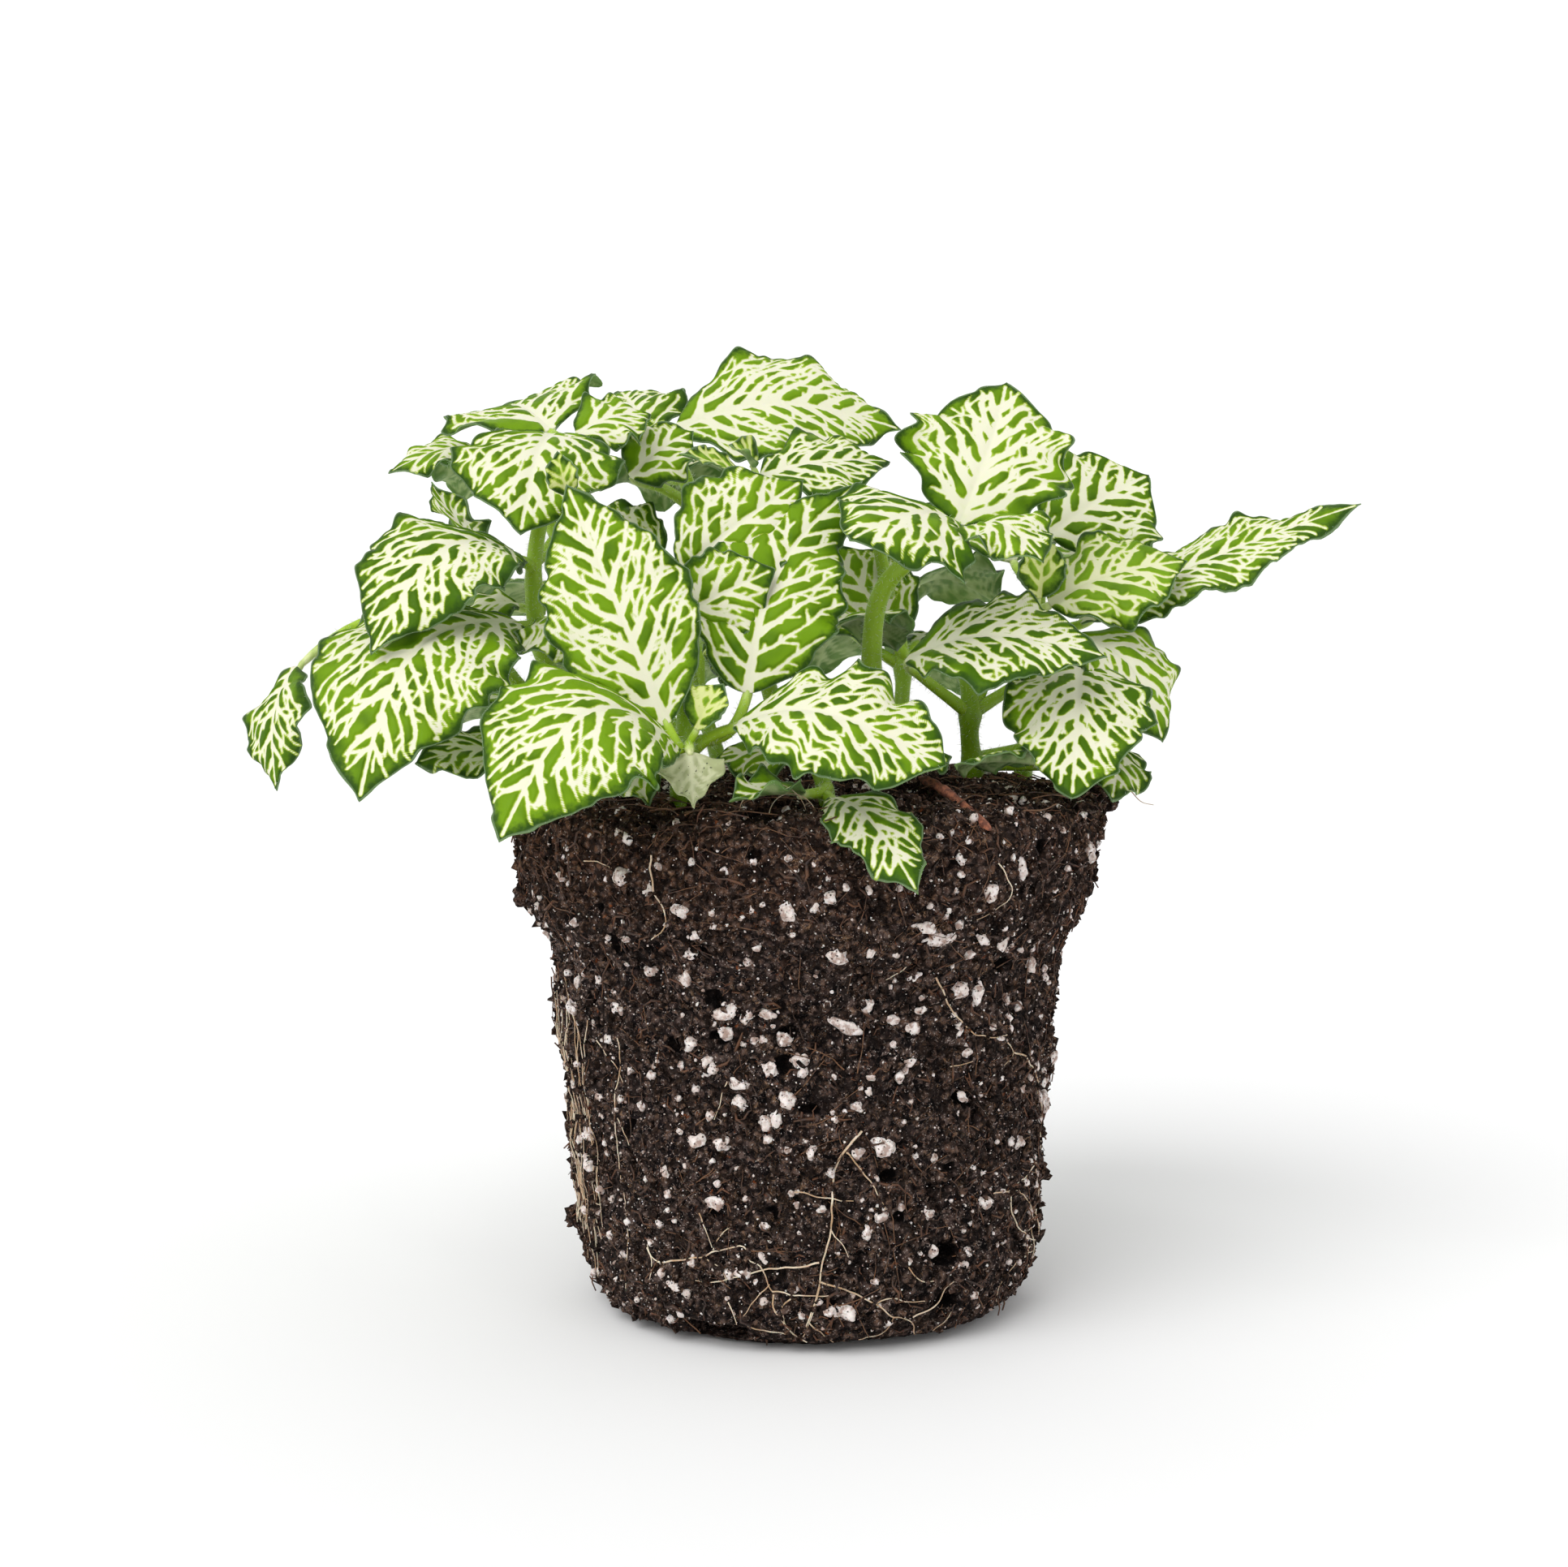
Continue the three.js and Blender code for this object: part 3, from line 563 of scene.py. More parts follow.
class VeinMap:
    # the veins of one leaf, drawn on its flat outline. s runs along the midrib and w across it. The
    # map tells how far each place lies inside a vein, and whose it is
    before = 8              # rows of the map ahead of the blade's base
    beside = 1.5            # room past the widest place
    around = 2.2            # how far round a vein the map is filled in
    endless = 99.0          # longer than any vein

    def __init__(self, leaf, length, run, half, rng):
        self.leaf, self.length, self.rng = leaf, length, rng
        self.run, self.half = run, half
        self.cell = veins["cell"]
        self.reach = half.max() + self.beside
        shape = int(length / self.cell) + 20, int(2 * self.reach / self.cell) + 2
        self.field = np.full(shape, -3.0)
        self.owner = np.zeros(shape, int)
        self.size = (leaf["width"] / 32) ** 0.6
        self.count = 1

    def halfAt(self, s):
        return np.interp(s, self.run, self.half)

    def place(self, s, w):
        i, j = int(s / self.cell) + self.before, int((w + self.reach) / self.cell)
        return min(max(i, 0), self.field.shape[0] - 1), min(max(j, 0), self.field.shape[1] - 1)

    def gapAt(self, s, w):
        # distance to the nearest vein
        return -self.field[self.place(s, w)]

    def draw(self, a, b, ra, rb, owner):
        # a straight piece of vein from a to b, with its half widths there
        far = max(ra, rb) + self.around
        i0, j0 = self.place(min(a[0], b[0]) - far, min(a[1], b[1]) - far)
        i1, j1 = self.place(max(a[0], b[0]) + far, max(a[1], b[1]) + far)
        i1, j1 = i1 + 1, j1 + 1
        s = ((np.arange(i0, i1) - (self.before - 0.5)) * self.cell)[:, None]
        w = ((np.arange(j0, j1) + 0.5) * self.cell - self.reach)[None, :]
        ds, dw = b[0] - a[0], b[1] - a[1]
        u = np.clip(((s - a[0]) * ds + (w - a[1]) * dw) / (ds * ds + dw * dw + 1e-9), 0, 1)
        inside = ra + (rb - ra) * u - np.hypot(s - a[0] - u * ds, w - a[1] - u * dw)
        window = self.field[i0:i1, j0:j1]
        np.maximum(window, inside, out=window)
        owners = self.owner[i0:i1, j0:j1]
        owners[(inside > -0.05) & (owners == 0)] = owner

    def angleAt(self, s, q):
        # angle to the midrib of the side veins there, where q is 0 at the midrib and 1 at the margin
        t = min(max(s / self.length, 0), 1)
        wide = veins["baseAngle"] + (veins["tipAngle"] - veins["baseAngle"]) * t ** 0.8
        wide += veins["fan"] * math.exp(-t / veins["fanReach"])
        return math.radians(wide) * (1.08 - veins["forward"] * q)

    def grow(self, s, w, angle, radius, relax, me, flare=0.0, limit=endless, joins=True):
        # one vein from a point outwards, along the run of its neighbours, up to the green edge
        step, travelled = veins["step"], 0.0
        border = veins["border"] * self.rng.uniform(0.5, 1.6) * min(self.size, 1.1)
        side = 1 if w + math.sin(angle) > 0 else -1
        line = []
        while travelled < limit:
            half = self.halfAt(s)
            q = abs(w) / max(half, 0.1)
            room = half - abs(w) - border
            if room < 0 or s > self.length - 1.0 or s < 0.2:
                break
            taper = min(1, room / (3.6 * self.size)) ** 0.6
            if limit < self.endless:
                taper *= min(1, (limit - travelled) / limit + 0.12)
            wider = 1 + flare * math.exp(-travelled / 2.4)
            width = max(radius * (1 - 0.45 * q) * taper * wider, veins["thinnest"])
            wobble = self.rng.normal(0, veins["wobble"])
            angle += (side * self.angleAt(s, q) - angle) * relax + wobble
            if limit == self.endless and travelled > 1.5:
                # keeps its distance from the veins on both sides
                far = veins["lookAhead"]
                ps, pw = s + far * math.cos(angle), w + far * math.sin(angle)
                left = self.gapAt(ps - math.sin(angle), pw + math.cos(angle))
                right = self.gapAt(ps + math.sin(angle), pw - math.cos(angle))
                angle += veins["steer"] * max(min(left - right, 1.2), -1.2)
            ns, nw = s + step * math.cos(angle), w + step * math.sin(angle)
            self.draw((s, w), (ns, nw), width, width * 0.97, me)
            line.append((ns, nw, width, angle))
            s, w, travelled = ns, nw, travelled + step
            ahead = self.place(s + 0.5 * math.cos(angle), w + 0.5 * math.sin(angle))
            met = self.owner[ahead]
            if joins and met and met != me and travelled > 0.9:
                self.draw((s, w), (s + 0.6 * math.cos(angle), w + 0.6 * math.sin(angle)), width, width, me)
                break
        return line

    def fillGap(self, s, w, radius):
        # a vein through a wide gap: back to the nearest vein it can fork from, and out to the edge
        self.count += 1
        me, step = self.count, veins["step"]
        side = 1 if w > 0 else -1
        angle = side * self.angleAt(s, abs(w) / max(self.halfAt(s), 0.1))
        across = np.linspace(-1.6, 1.6, 9)
        gaps = [self.gapAt(s - x * math.sin(angle), w + x * math.cos(angle)) for x in across]
        move = across[int(np.argmax(gaps))]
        s, w = s - move * math.sin(angle), w + move * math.cos(angle)
        back, a, b, heading, travelled = [(s, w)], s, w, angle, 0.0
        while travelled < veins["forkWithin"]:
            slopeS = self.gapAt(a + 0.3, b) - self.gapAt(a - 0.3, b)
            slopeW = self.gapAt(a, b + 0.3) - self.gapAt(a, b - 0.3)
            pull = 0.05 + 0.1 * travelled
            ds = -math.cos(heading) - pull * slopeS
            dw = -math.sin(heading) - pull * slopeW
            long = math.hypot(ds, dw)
            a, b = a + step * ds / long, b + step * dw / long
            travelled += step
            back.append((a, b))
            if a < 0.3 or self.gapAt(a, b) < 0.02 or abs(b) > self.halfAt(a) - 1.0:
                break
        if self.gapAt(a, b) > 0.3 or abs(b) > self.halfAt(a) - 1.0:
            return []
        line = []
        for k, (p, q) in enumerate(zip(back, back[1:])):
            width = radius * (1 + 0.12 * math.sin(2.1 * k))
            line.append((p[0], p[1], width, angle))
            self.draw(q, p, width, width, me)
        return line + self.grow(s, w, angle, radius, 0.1, me)

    def sprout(self, line, owner, every, angles, radius, lengths, joins):
        # thin veins off a line, now on one side and now on the other: links to the next vein, or barbs
        due, side = every * self.rng.uniform(0.3, 1), self.rng.choice([-1, 1])
        for k, (s, w, width, angle) in enumerate(line):
            travelled = k * veins["step"]
            near = self.halfAt(s) - abs(w) < 3.2 * self.size and not joins
            if travelled < due or width < 0.2 or near:
                continue
            self.count += 1
            turn = side * math.radians(self.rng.uniform(*angles))
            me = self.count if joins else owner
            thin = min(radius * self.rng.uniform(0.75, 1.2), width * 0.9)
            self.grow(s, w, angle + turn, thin, 0.03, me, limit=self.rng.uniform(*lengths), joins=joins)
            side = -side if self.rng.uniform() < 0.8 else side
            due = travelled + every * self.rng.uniform(0.6, 1.4)

    def fill(self):
        spread = self.leaf["spread"]
        white = 0.62 + 0.3 * self.leaf["white"]
        rib = veins["midrib"] * self.size * (0.7 + 0.3 * white)
        stations = np.linspace(-0.5, self.length - 1.3, 40)
        for a, b in zip(stations, stations[1:]):
            ra, rb = (rib * (1 - 0.8 * (max(x, 0) / self.length) ** 0.6) for x in (a, b))
            self.draw((a, 0), (b, 0), ra, rb, 1)
        number = max(4, round(veins["laterals"] * (self.length / 50) ** 0.6 / spread))
        made = []
        for side in (-1, 1):
            for k in range(number):
                # the two sides take turns, a little closer together near the base
                at = (0.01 + 0.86 * ((k + 0.4 * (side > 0)) / number) ** 1.1) * self.length
                at += self.rng.normal(0, 0.35)
                angle = side * self.angleAt(at, 0) * self.rng.uniform(0.95, 1.12)
                radius = veins["lateral"] * self.size * white * (1.12 - 0.4 * at / self.length)
                self.count += 1
                owner = self.count
                line = self.grow(max(at, 0.3), side * 0.2, angle, radius, 0.1, owner, flare=0.9)
                made.append((line, owner))
        # the wide gaps, until none is left
        tries = veins["tries"]
        along, sideways = self.rng.uniform(1, self.length - 2, tries), self.rng.uniform(-1, 1, tries)
        for wanted in (1.4, 1.15, 1.0):
            for s, share in zip(along, sideways):
                w = share * (self.halfAt(s) - 3.2 * self.size)
                limit = veins["gap"] * wanted * spread * self.size ** 0.5
                if abs(w) > 1.2 and self.gapAt(s, w) > limit and self.halfAt(s) > 4 * self.size:
                    radius = veins["between"] * self.size * white * self.rng.uniform(0.8, 1.15)
                    line = self.fillGap(s, w, radius)
                    if line:
                        made.append((line, self.count))
        link, every = veins["link"] * white * self.size ** 0.5, veins["linkEvery"] * spread
        for line, owner in made:
            self.sprout(line, owner, every, veins["linkAngles"], link, veins["linkLengths"], True)
        barb, every = veins["barb"] * white, veins["barbEvery"]
        for line, owner in made:
            self.sprout(line, owner, every, veins["barbAngles"], barb, veins["barbLengths"], False)

    def soften(self):
        # takes the kinks out of the lines before they are read at the points of the blade
        f = np.pad(self.field, 1, mode="edge")
        f = (f[:-2] + 2 * f[1:-1] + f[2:]) / 4
        self.field = (f[:, :-2] + 2 * f[:, 1:-1] + f[:, 2:]) / 4 + 0.03

    def sample(self, s, w):
        # the map's value between its points
        i = np.clip(s / self.cell + (self.before - 0.5), 0, self.field.shape[0] - 1.001)
        j = np.clip((w + self.reach) / self.cell - 0.5, 0, self.field.shape[1] - 1.001)
        i0, j0 = i.astype(int), j.astype(int)
        fi, fj = i - i0, j - j0
        f = self.field
        return ((1 - fi) * (1 - fj) * f[i0, j0] + fi * (1 - fj) * f[i0 + 1, j0]
                + (1 - fi) * fj * f[i0, j0 + 1] + fi * fj * f[i0 + 1, j0 + 1])


def sheetIndex(i, j, rows, columns):
    # number of a point in a sheet whose first and last rows are a single point each
    inside = 1 + (i - 1) * (columns + 1) + j
    return np.where(i == 0, 0, np.where(i == rows, 1 + (rows - 1) * (columns + 1), inside))


def sheetPoints(a):
    return np.vstack([a[0, :1], a[1:-1].reshape(-1, a.shape[-1]), a[-1, :1]])


def sheetFaces(rows, columns):
    i, j = np.meshgrid(np.arange(rows), np.arange(columns), indexing="ij")
    a, b = sheetIndex(i, j, rows, columns), sheetIndex(i, j + 1, rows, columns)
    c, d = sheetIndex(i + 1, j + 1, rows, columns), sheetIndex(i + 1, j, rows, columns)
    middle = slice(1, rows - 1)
    quads = np.stack([a[middle], b[middle], c[middle], d[middle]], axis=-1).reshape(-1, 4)
    tips = [np.stack([a[0], c[0], d[0]], axis=-1), np.stack([a[-1], b[-1], c[-1]], axis=-1)]
    return quads, np.vstack(tips), (rows - 1) * (columns + 1) + 2


def bladeFaces(rows, columns):
    # the underside has half as many rows and columns, and the rim joins the two
    top, topEnds, count = sheetFaces(rows, columns)
    below, belowEnds, belowCount = sheetFaces(rows // 2, columns // 2)
    k = np.arange(rows // 2)
    edges = []
    for j, flip in ((0, 1), (columns, -1)):
        u0, u1, u2 = (sheetIndex(2 * k + n, j, rows, columns) for n in range(3))
        low, high = (count + sheetIndex(k + n, j // 2, rows // 2, columns // 2) for n in range(2))
        for corners in ((u0, u1, low), (u1, u2, high), (u1, high, low)):
            edges.append(np.stack(corners[::flip], axis=-1))
    quads = np.vstack([top, below[:, ::-1] + count])
    triangles = np.vstack([topEnds, belowEnds[:, ::-1] + count] + edges)
    return quads, triangles, count, belowCount


def marginShape(leaf, seed, t, v, s, half):
    # how the margin goes in and out, as a factor of the width, and up and down, in millimetres
    size = np.abs(v)
    turn = leaf["phase"] + np.where(v > 0, 0, 1.9)
    small = (leaf["width"] / blade["usualWidth"]) ** 0.5
    margin = np.stack([s + 0 * v, 40 * (v > 0) + 0 * s, seed + 0 * v * s], axis=-1)
    long, short = blade["lobeSizes"]
    lobes = 0.55 * softNoise(margin, long * small, 1) + 0.45 * softNoise(margin, short * small, 2)
    long, short = blade["crispSizes"]
    curl = 0.7 * softNoise(margin, long * small, 3) + 0.3 * softNoise(margin, short * small, 4)
    deep = blade["lobe"] * small * (1 - 0.7 * leaf["faded"])
    scallop = 1 + leaf["notch"] * np.sin(4 * math.pi * leaf["waves"] * t + turn)
    scallop = scallop + deep * size ** 3 * lobes / np.maximum(half, 3)
    ruffle = leaf["wave"] * size ** 2.5 * np.sin(2 * math.pi * leaf["waves"] * t + turn)
    return scallop, ruffle + blade["crisp"] * small * size ** 5 * curl


def bladeShape(leaf, seed):
    # a closed blade of one leaf, with its veins and the distance to its rim as values at its points
    rng = np.random.default_rng(seed)
    probe = np.linspace(0, 1, 120)
    run = runAlong(leafFrame(leaf, probe)[0])
    length = run[-1]
    spacing = blade["grid"] if leaf["base"][1] < blade["behind"] else blade["gridBehind"]
    rows = 2 * max(12, round(length / spacing / 2))
    columns = 4 * max(3, round(leaf["width"] / spacing / 4))
    t = np.linspace(0, 1, rows + 1)
    v = np.linspace(-1, 1, columns + 1)[None, :]
    point, _, normal, across = leafFrame(leaf, t)
    half, bow = halfWidth(leaf, t)
    t, half, bow = t[:, None], half[:, None], bow[:, None]

    veinMap = VeinMap(leaf, length, run, halfWidth(leaf, probe)[0], rng)
    veinMap.fill()
    veinMap.soften()
    s = np.interp(t, probe, run)
    vein = veinMap.sample(s + 0 * v, v * half)

    size = np.abs(v)
    scallop, ruffle = marginShape(leaf, seed, t, v, s, half)
    lift = (leaf["cup"] * v * v + 0.05 * leaf["width"] * size * (1 - size)) * bow + ruffle * bow ** 0.5
    groove = blade["groove"] * np.exp(-(v * half / 1.1) ** 2) * (1 - t) * bow ** 0.5
    flat = np.stack([s + 0 * v, v * half, seed * 7.0 + 0 * v * s], axis=-1)
    lift = lift - groove + blade["uneven"] * softNoise(flat, 9.0, 5) * bow * size ** 0.5
    grid = (point[:, None] + across[:, None] * (v * half * scallop)[..., None]
            + normal[:, None] * lift[..., None])

    facing = np.cross(np.gradient(grid, axis=1), np.gradient(grid, axis=0))
    facing[0], facing[-1] = normal[0], normal[-1]
    facing = unit(facing + 1e-9 * normal[:, None])
    rim = (1 - size) * half + 0 * t
    thin = blade["thickness"] / 2 * (0.55 + 0.45 * smoothStep(0, 3, rim))
    island = smoothStep(-0.05, 0.55, -vein) * smoothStep(0, 1.5, rim)
    upper = grid + facing * (thin + blade["puff"] * island)[..., None]
    keel = blade["rib"] * np.exp(-(v * half / (0.85 - 0.35 * t)) ** 2) * (1 - t) ** 0.8
    keel = keel * (leaf["width"] / blade["usualWidth"]) ** 0.5
    lower = grid - facing * (thin + keel - 0.5 * blade["puff"] * island)[..., None]

    quads, triangles, count, belowCount = bladeFaces(rows, columns)
    coarse = (slice(None, None, 2), slice(None, None, 2))

    def bothSides(a):
        return np.concatenate([sheetPoints(a[..., None]), sheetPoints(a[coarse][..., None])])[:, 0]

    values = {
        "vein": bothSides(vein),
        "rim": bothSides(rim),
        "upper": np.repeat([1.0, 0.0], [count, belowCount]),
        "young": leaf["young"],
        "faded": leaf["faded"],
        "tone": rng.uniform(-1, 1),
    }
    return np.vstack([sheetPoints(upper), sheetPoints(lower[coarse])]), quads, triangles, values


footZ = 90

# each shoot: the stem from its foot in the soil upwards, then its leaves
shoots = {
    "front": {
        "radius": 2.2,
        "stem": [
            (-23, -34, footZ), (-23, -34, 101), (-22, -38, 108), (-22, -35, 118),
            (-23, -28, 130), (-22, -22, 139),
        ],
        "leaves": [
            leaf((-22, -38, 107), (-23, -43, 110), (-52, -68, 96), (-1, -5, 5), 36,
                 arch=14, bend=4, cup=-3, phase=0.6, white=0.85, spread=1.25),
            leaf((-22, -38, 108), (-13, -42, 114), (23, -58, 108), (0.5, -5, 5.5), 28,
                 arch=7, cup=-1, wave=2, notch=0.1, peak=-0.1, blunt=0.3, phase=2, white=1.2, spread=0.9),
            leaf((-22, -38, 109), (-25, -44, 114), (-43, -34, 156), (0, -9, 2), 27,
                 arch=2, wave=1, phase=1, white=0.85, spread=0.88),
            leaf((-22, -37, 110), (-11, -35, 119), (10, -14, 157), (-1, -9, 3), 28,
                 arch=3, bend=-5, peak=0.55, phase=3, white=0.8, spread=1.35),
            leaf((-23, -28, 129), (-24, -28, 132), (-6, -29, 141), (1, -9, 2), 18,
                 arch=2, phase=4, white=0.8),
            leaf((-22, -22, 137), (-23, -24, 140), (-1, -14, 157), (2, -9, 5), 24,
                 arch=3, phase=5, white=0.8, spread=1.2),
            youngLeaf((-22, -38, 110), (-20, -42, 113), (-15, -41, 121), (-2, -8, 4), 8),
            leaf((-22, -38, 106), (-21, -43, 109), (-20, -52, 100), (0, 1, -1), 12,
                 arch=1, cup=-2, peak=0.9, faded=1),
            leaf((-23, -34, 103), (-27, -34, 105), (-36, -39, 102), (0, -7, 7), 11, arch=1),
            youngLeaf((-22, -22, 137), (-43, -28, 154), (-45, -29, 162), (-2, -9, 3), 6),
        ],
    },
    "left": {
        "radius": 2.1,
        "stem": [
            (-33, -10, footZ), (-33, -10, 101), (-42, -13, 112), (-49, -15, 125),
            (-51, -11, 141), (-47, 0, 164),
        ],
        "leaves": [
            leaf((-50, -15, 128), (-53, -20, 131), (-78, -50, 101), (-2, -6, 6), 39,
                 arch=11, bend=4, cup=-2, phase=2.4, white=1.1, spread=1.15),
            leaf((-49, -15, 126), (-48, -20, 132), (-39, -33, 124), (1, -6, 6), 19, arch=3, phase=1.2),
            leaf((-51, -12, 138), (-53, -14, 143), (-77, -41, 126), (-2, -7, 6), 29,
                 arch=10, bend=2, phase=0.4, white=1.2),
            leaf((-50, -13, 133), (-54, -8, 134), (-65, -10, 131), (0, -4, 8), 14, arch=2, phase=3.3),
            leaf((-47, 0, 163), (-48, -3, 166), (-52, -26, 147), (0, -6, 7), 31,
                 arch=5, phase=4.4, white=1.35),
            leaf((-47, 0, 163), (-49, 6, 167), (-62, 34, 172), (0, -6, 7), 32,
                 arch=3, cup=1, phase=1.7, white=1.2),
            leaf((-47, 0, 163), (-44, 3, 166), (-30, 9, 170), (1, -5, 8), 18,
                 arch=2, phase=5.2, white=1.2),
        ],
    },
    "left_low": {
        "radius": 1.9,
        "stem": [(-40, 14, footZ), (-40, 14, 101), (-49, 11, 111), (-58, 4, 121)],
        "leaves": [
            leaf((-58, 4, 120), (-98, 2, 122), (-100, -8, 99), (-7, -6, 2), 20,
                 arch=3, phase=0.9, white=0.8),
            leaf((-58, 4, 120), (-61, 3, 125), (-94, 12, 127), (0, -3, 9), 20,
                 arch=3, phase=2.9, white=0.9),
            leaf((-48, 11, 109), (-53, -20, 107), (-71, -30, 106), (0, -5, 8), 16, arch=2, phase=3.7),
            leaf((-48, 11, 109), (-53, 24, 112), (-77, 38, 104), (-3, 2, 9), 26, arch=6, phase=5.5),
        ],
    },
    "left_back": {
        "radius": 2,
        "stem": [(-22, 18, footZ), (-22, 18, 101), (-37, 24, 124), (-50, 27, 147), (-56, 28, 159)],
        "leaves": [
            leaf((-56, 28, 158), (-62, 26, 163), (-82, 18, 159), (-1, -3.5, 9), 18, arch=3, phase=1.1),
            leaf((-50, 27, 146), (-62, 8, 145), (-71, -2, 157), (-7, -6, 3), 18, arch=1, phase=2.2),
            leaf((-56, 28, 158), (-58, 35, 161), (-72, 58, 154), (-1, 2, 9), 26, arch=5, phase=3.1),
            leaf((-42, 26, 132), (-50, 37, 135), (-70, 54, 126), (-1, 2, 9), 26, arch=6, phase=4.2),
        ],
    },
    "middle_back": {
        "radius": 2.1,
        "stem": [(-4, 22, footZ), (-4, 22, 101), (-10, 22, 125), (-20, 22, 148), (-26, 24, 163)],
        "leaves": [
            leaf((-26, 24, 162), (-26, 26, 168), (19, 32, 168), (0, -7, 7), 33,
                 arch=6, bend=-1, phase=0.3, white=1.6, spread=0.8),
            leaf((-26, 24, 162), (-32, 38, 167), (-39, 60, 177), (0, -8, 6), 22, arch=2, phase=5.8),
            leaf((-22, 23, 152), (-34, 7, 158), (-22, 12, 167), (1, -7, 7), 17,
                 arch=2, via=(-28, 15, 156), phase=2.6),
            leaf((-24, 23, 158), (-28, 34, 160), (-30, 66, 152), (0, 3, 9), 26, arch=6, phase=3.9),
        ],
    },
    "middle": {
        "radius": 1.9,
        "stem": [(2, 6, footZ), (2, 6, 101), (-2, 4, 125), (-8, 4, 144), (-10, 2, 155)],
        "leaves": [
            leaf((-10, 2, 154), (-9, 4, 158), (16, 10, 161), (0, -5, 8), 24, arch=2, phase=4.9),
            youngLeaf((-10, 2, 154), (-11, -2, 157), (-24, -9, 162), (0, -4, 8), 8),
            youngLeaf((-10, 2, 154), (-10, 4, 160), (-15, 1, 164), (0, -5, 7), 6),
            leaf((-2, 4, 124), (-5, -2, 128), (-16, -15, 119), (-2, -5, 7), 22,
                 arch=3, phase=1.4, young=0.2),
            leaf((-2, 4, 124), (5, 7, 130), (18, 22, 124), (2, 3, 9), 22, arch=4, phase=0.2),
        ],
    },
    "rim": {
        "radius": 1.6,
        "stem": [(3, -34, footZ), (3, -34, 101), (1, -33, 106), (-2, -29, 112)],
        "leaves": [
            leaf((3, -34, 101), (4, -41, 101), (18, -66, 87), (1, -5, 6), 16,
                 arch=4, phase=2.1, white=1.1),
            leaf((3, -34, 102), (-1, -41, 102), (-14, -50, 101), (0, -2, 9), 10,
                 arch=1, cup=2.5, phase=0.7),
            leaf((-2, -29, 111), (-1, -25, 108), (-17, -18, 106), (0, -6, 7), 15, arch=1, phase=3.6),
        ],
    },
    "right_middle": {
        "radius": 2.6,
        "stem": [
            (13, -2, footZ), (13, -2, 101), (13, -3, 112), (12, -6, 125), (14, -10, 137), (24, -14, 147),
        ],
        "leaves": [
            leaf((24, -14, 146), (28, -10, 149), (38, 6, 176), (0, -9, 5), 33,
                 arch=2, bend=1, wave=2.2, notch=0.07, phase=1.9, white=1.5, spread=0.8),
            leaf((23, -14, 146), (26, -18, 150), (7, -38, 146), (-1, -6, 6), 30,
                 arch=3, cup=-4, phase=0.5, white=1.4, spread=1.1),
            leaf((24, -14, 146), (30, -16, 148), (42, -30, 142), (2, -6, 8), 20,
                 arch=4, phase=3.2, white=1.2),
            leaf((13, -3, 107), (20, -14, 107), (17, -34, 104), (0, -6, 8), 14, arch=2, phase=4.6),
        ],
    },
    "right": {
        "radius": 2.4,
        "stem": [(32, 4, footZ), (32, 4, 101), (31, 1, 109), (31, 0, 115), (30, 2, 122)],
        "leaves": [
            leaf((31, 0, 113), (18, -15, 124), (54, -26, 125), (0.5, -6, 8), 27,
                 arch=5.5, via=(22, -6, 120), phase=2.5, white=1.35),
            leaf((31, 0, 113), (51, 2, 128), (67, -6, 108), (4, -6, 7), 26,
                 arch=5, bend=-1, phase=1.3, white=1.3, spread=0.9),
            leaf((31, 0, 113), (51, -5, 123), (47, -34, 100), (0, -7, 6), 27,
                 arch=5, blunt=0.25, phase=0.1, white=1.3, spread=0.9),
            leaf((32, 4, 103), (43, -12, 105), (26, -33, 106), (2, 6, 5), 13, arch=1, phase=5.1),
            leaf((32, 4, 104), (59, 4, 107), (56, -18, 98), (3, -8, 6), 14, arch=2, phase=2.8),
        ],
    },
    "right_back": {
        "radius": 2.2,
        "stem": [
            (43, 20, footZ), (43, 20, 101), (45, 20, 118), (45, 17, 132), (46, 16, 141), (47, 22, 146),
        ],
        "leaves": [
            leaf((44, 16, 131), (53, 14, 130), (107, 10, 153), (-2, -5, 8), 21,
                 arch=2, wave=1.6, phase=0.8, white=1.0),
            leaf((44, 16, 132), (46, 2, 134), (73, 6, 142), (0, -7, 7), 24,
                 arch=3, phase=4.1, white=1.1, young=0.35),
            youngLeaf((44, 16, 132), (44, 0, 135), (45, 0, 147), (0, -9, 3), 9),
            leaf((47, 22, 145), (48, 24, 147), (69, 33, 159), (0, -8, 5), 31,
                 arch=2, phase=3.4, white=1.2),
            leaf((46, 19, 143), (53, 31, 143), (70, 56, 136), (1, 2, 9), 26, arch=4, phase=1.6),
            leaf((46, 18, 142), (42, 34, 142), (36, 62, 147), (0, -1, 9), 26, arch=4, phase=2.3),
            leaf((44, 20, 110), (49, 34, 117), (70, 50, 104), (3, 3, 8), 26, arch=6, phase=5.7),
        ],
    },
    "back_right": {
        "radius": 2,
        "stem": [(18, 36, footZ), (18, 36, 101), (20, 42, 120), (16, 44, 140), (14, 42, 149)],
        "leaves": [
            leaf((20, 42, 121), (19, 41, 125), (5, 50, 145), (0, -9, 4), 23, arch=2, phase=1.5),
            leaf((14, 42, 148), (12, 38, 150), (2, 22, 147), (0, -1, 9), 16, arch=2, phase=3.8),
            leaf((20, 42, 119), (23, 50, 125), (36, 76, 111), (1, 5, 7), 26, arch=7, phase=0.9),
            leaf((20, 42, 120), (10, 50, 127), (2, 78, 116), (-1, 5, 7), 26, arch=6, phase=4.7),
            leaf((14, 42, 148), (15, 49, 151), (22, 73, 149), (0, -1, 9), 25, arch=3, phase=2.7),
            leaf((17, 44, 137), (12, 50, 138), (-6, 68, 136), (-1, 4, 7), 24, arch=4, phase=5),
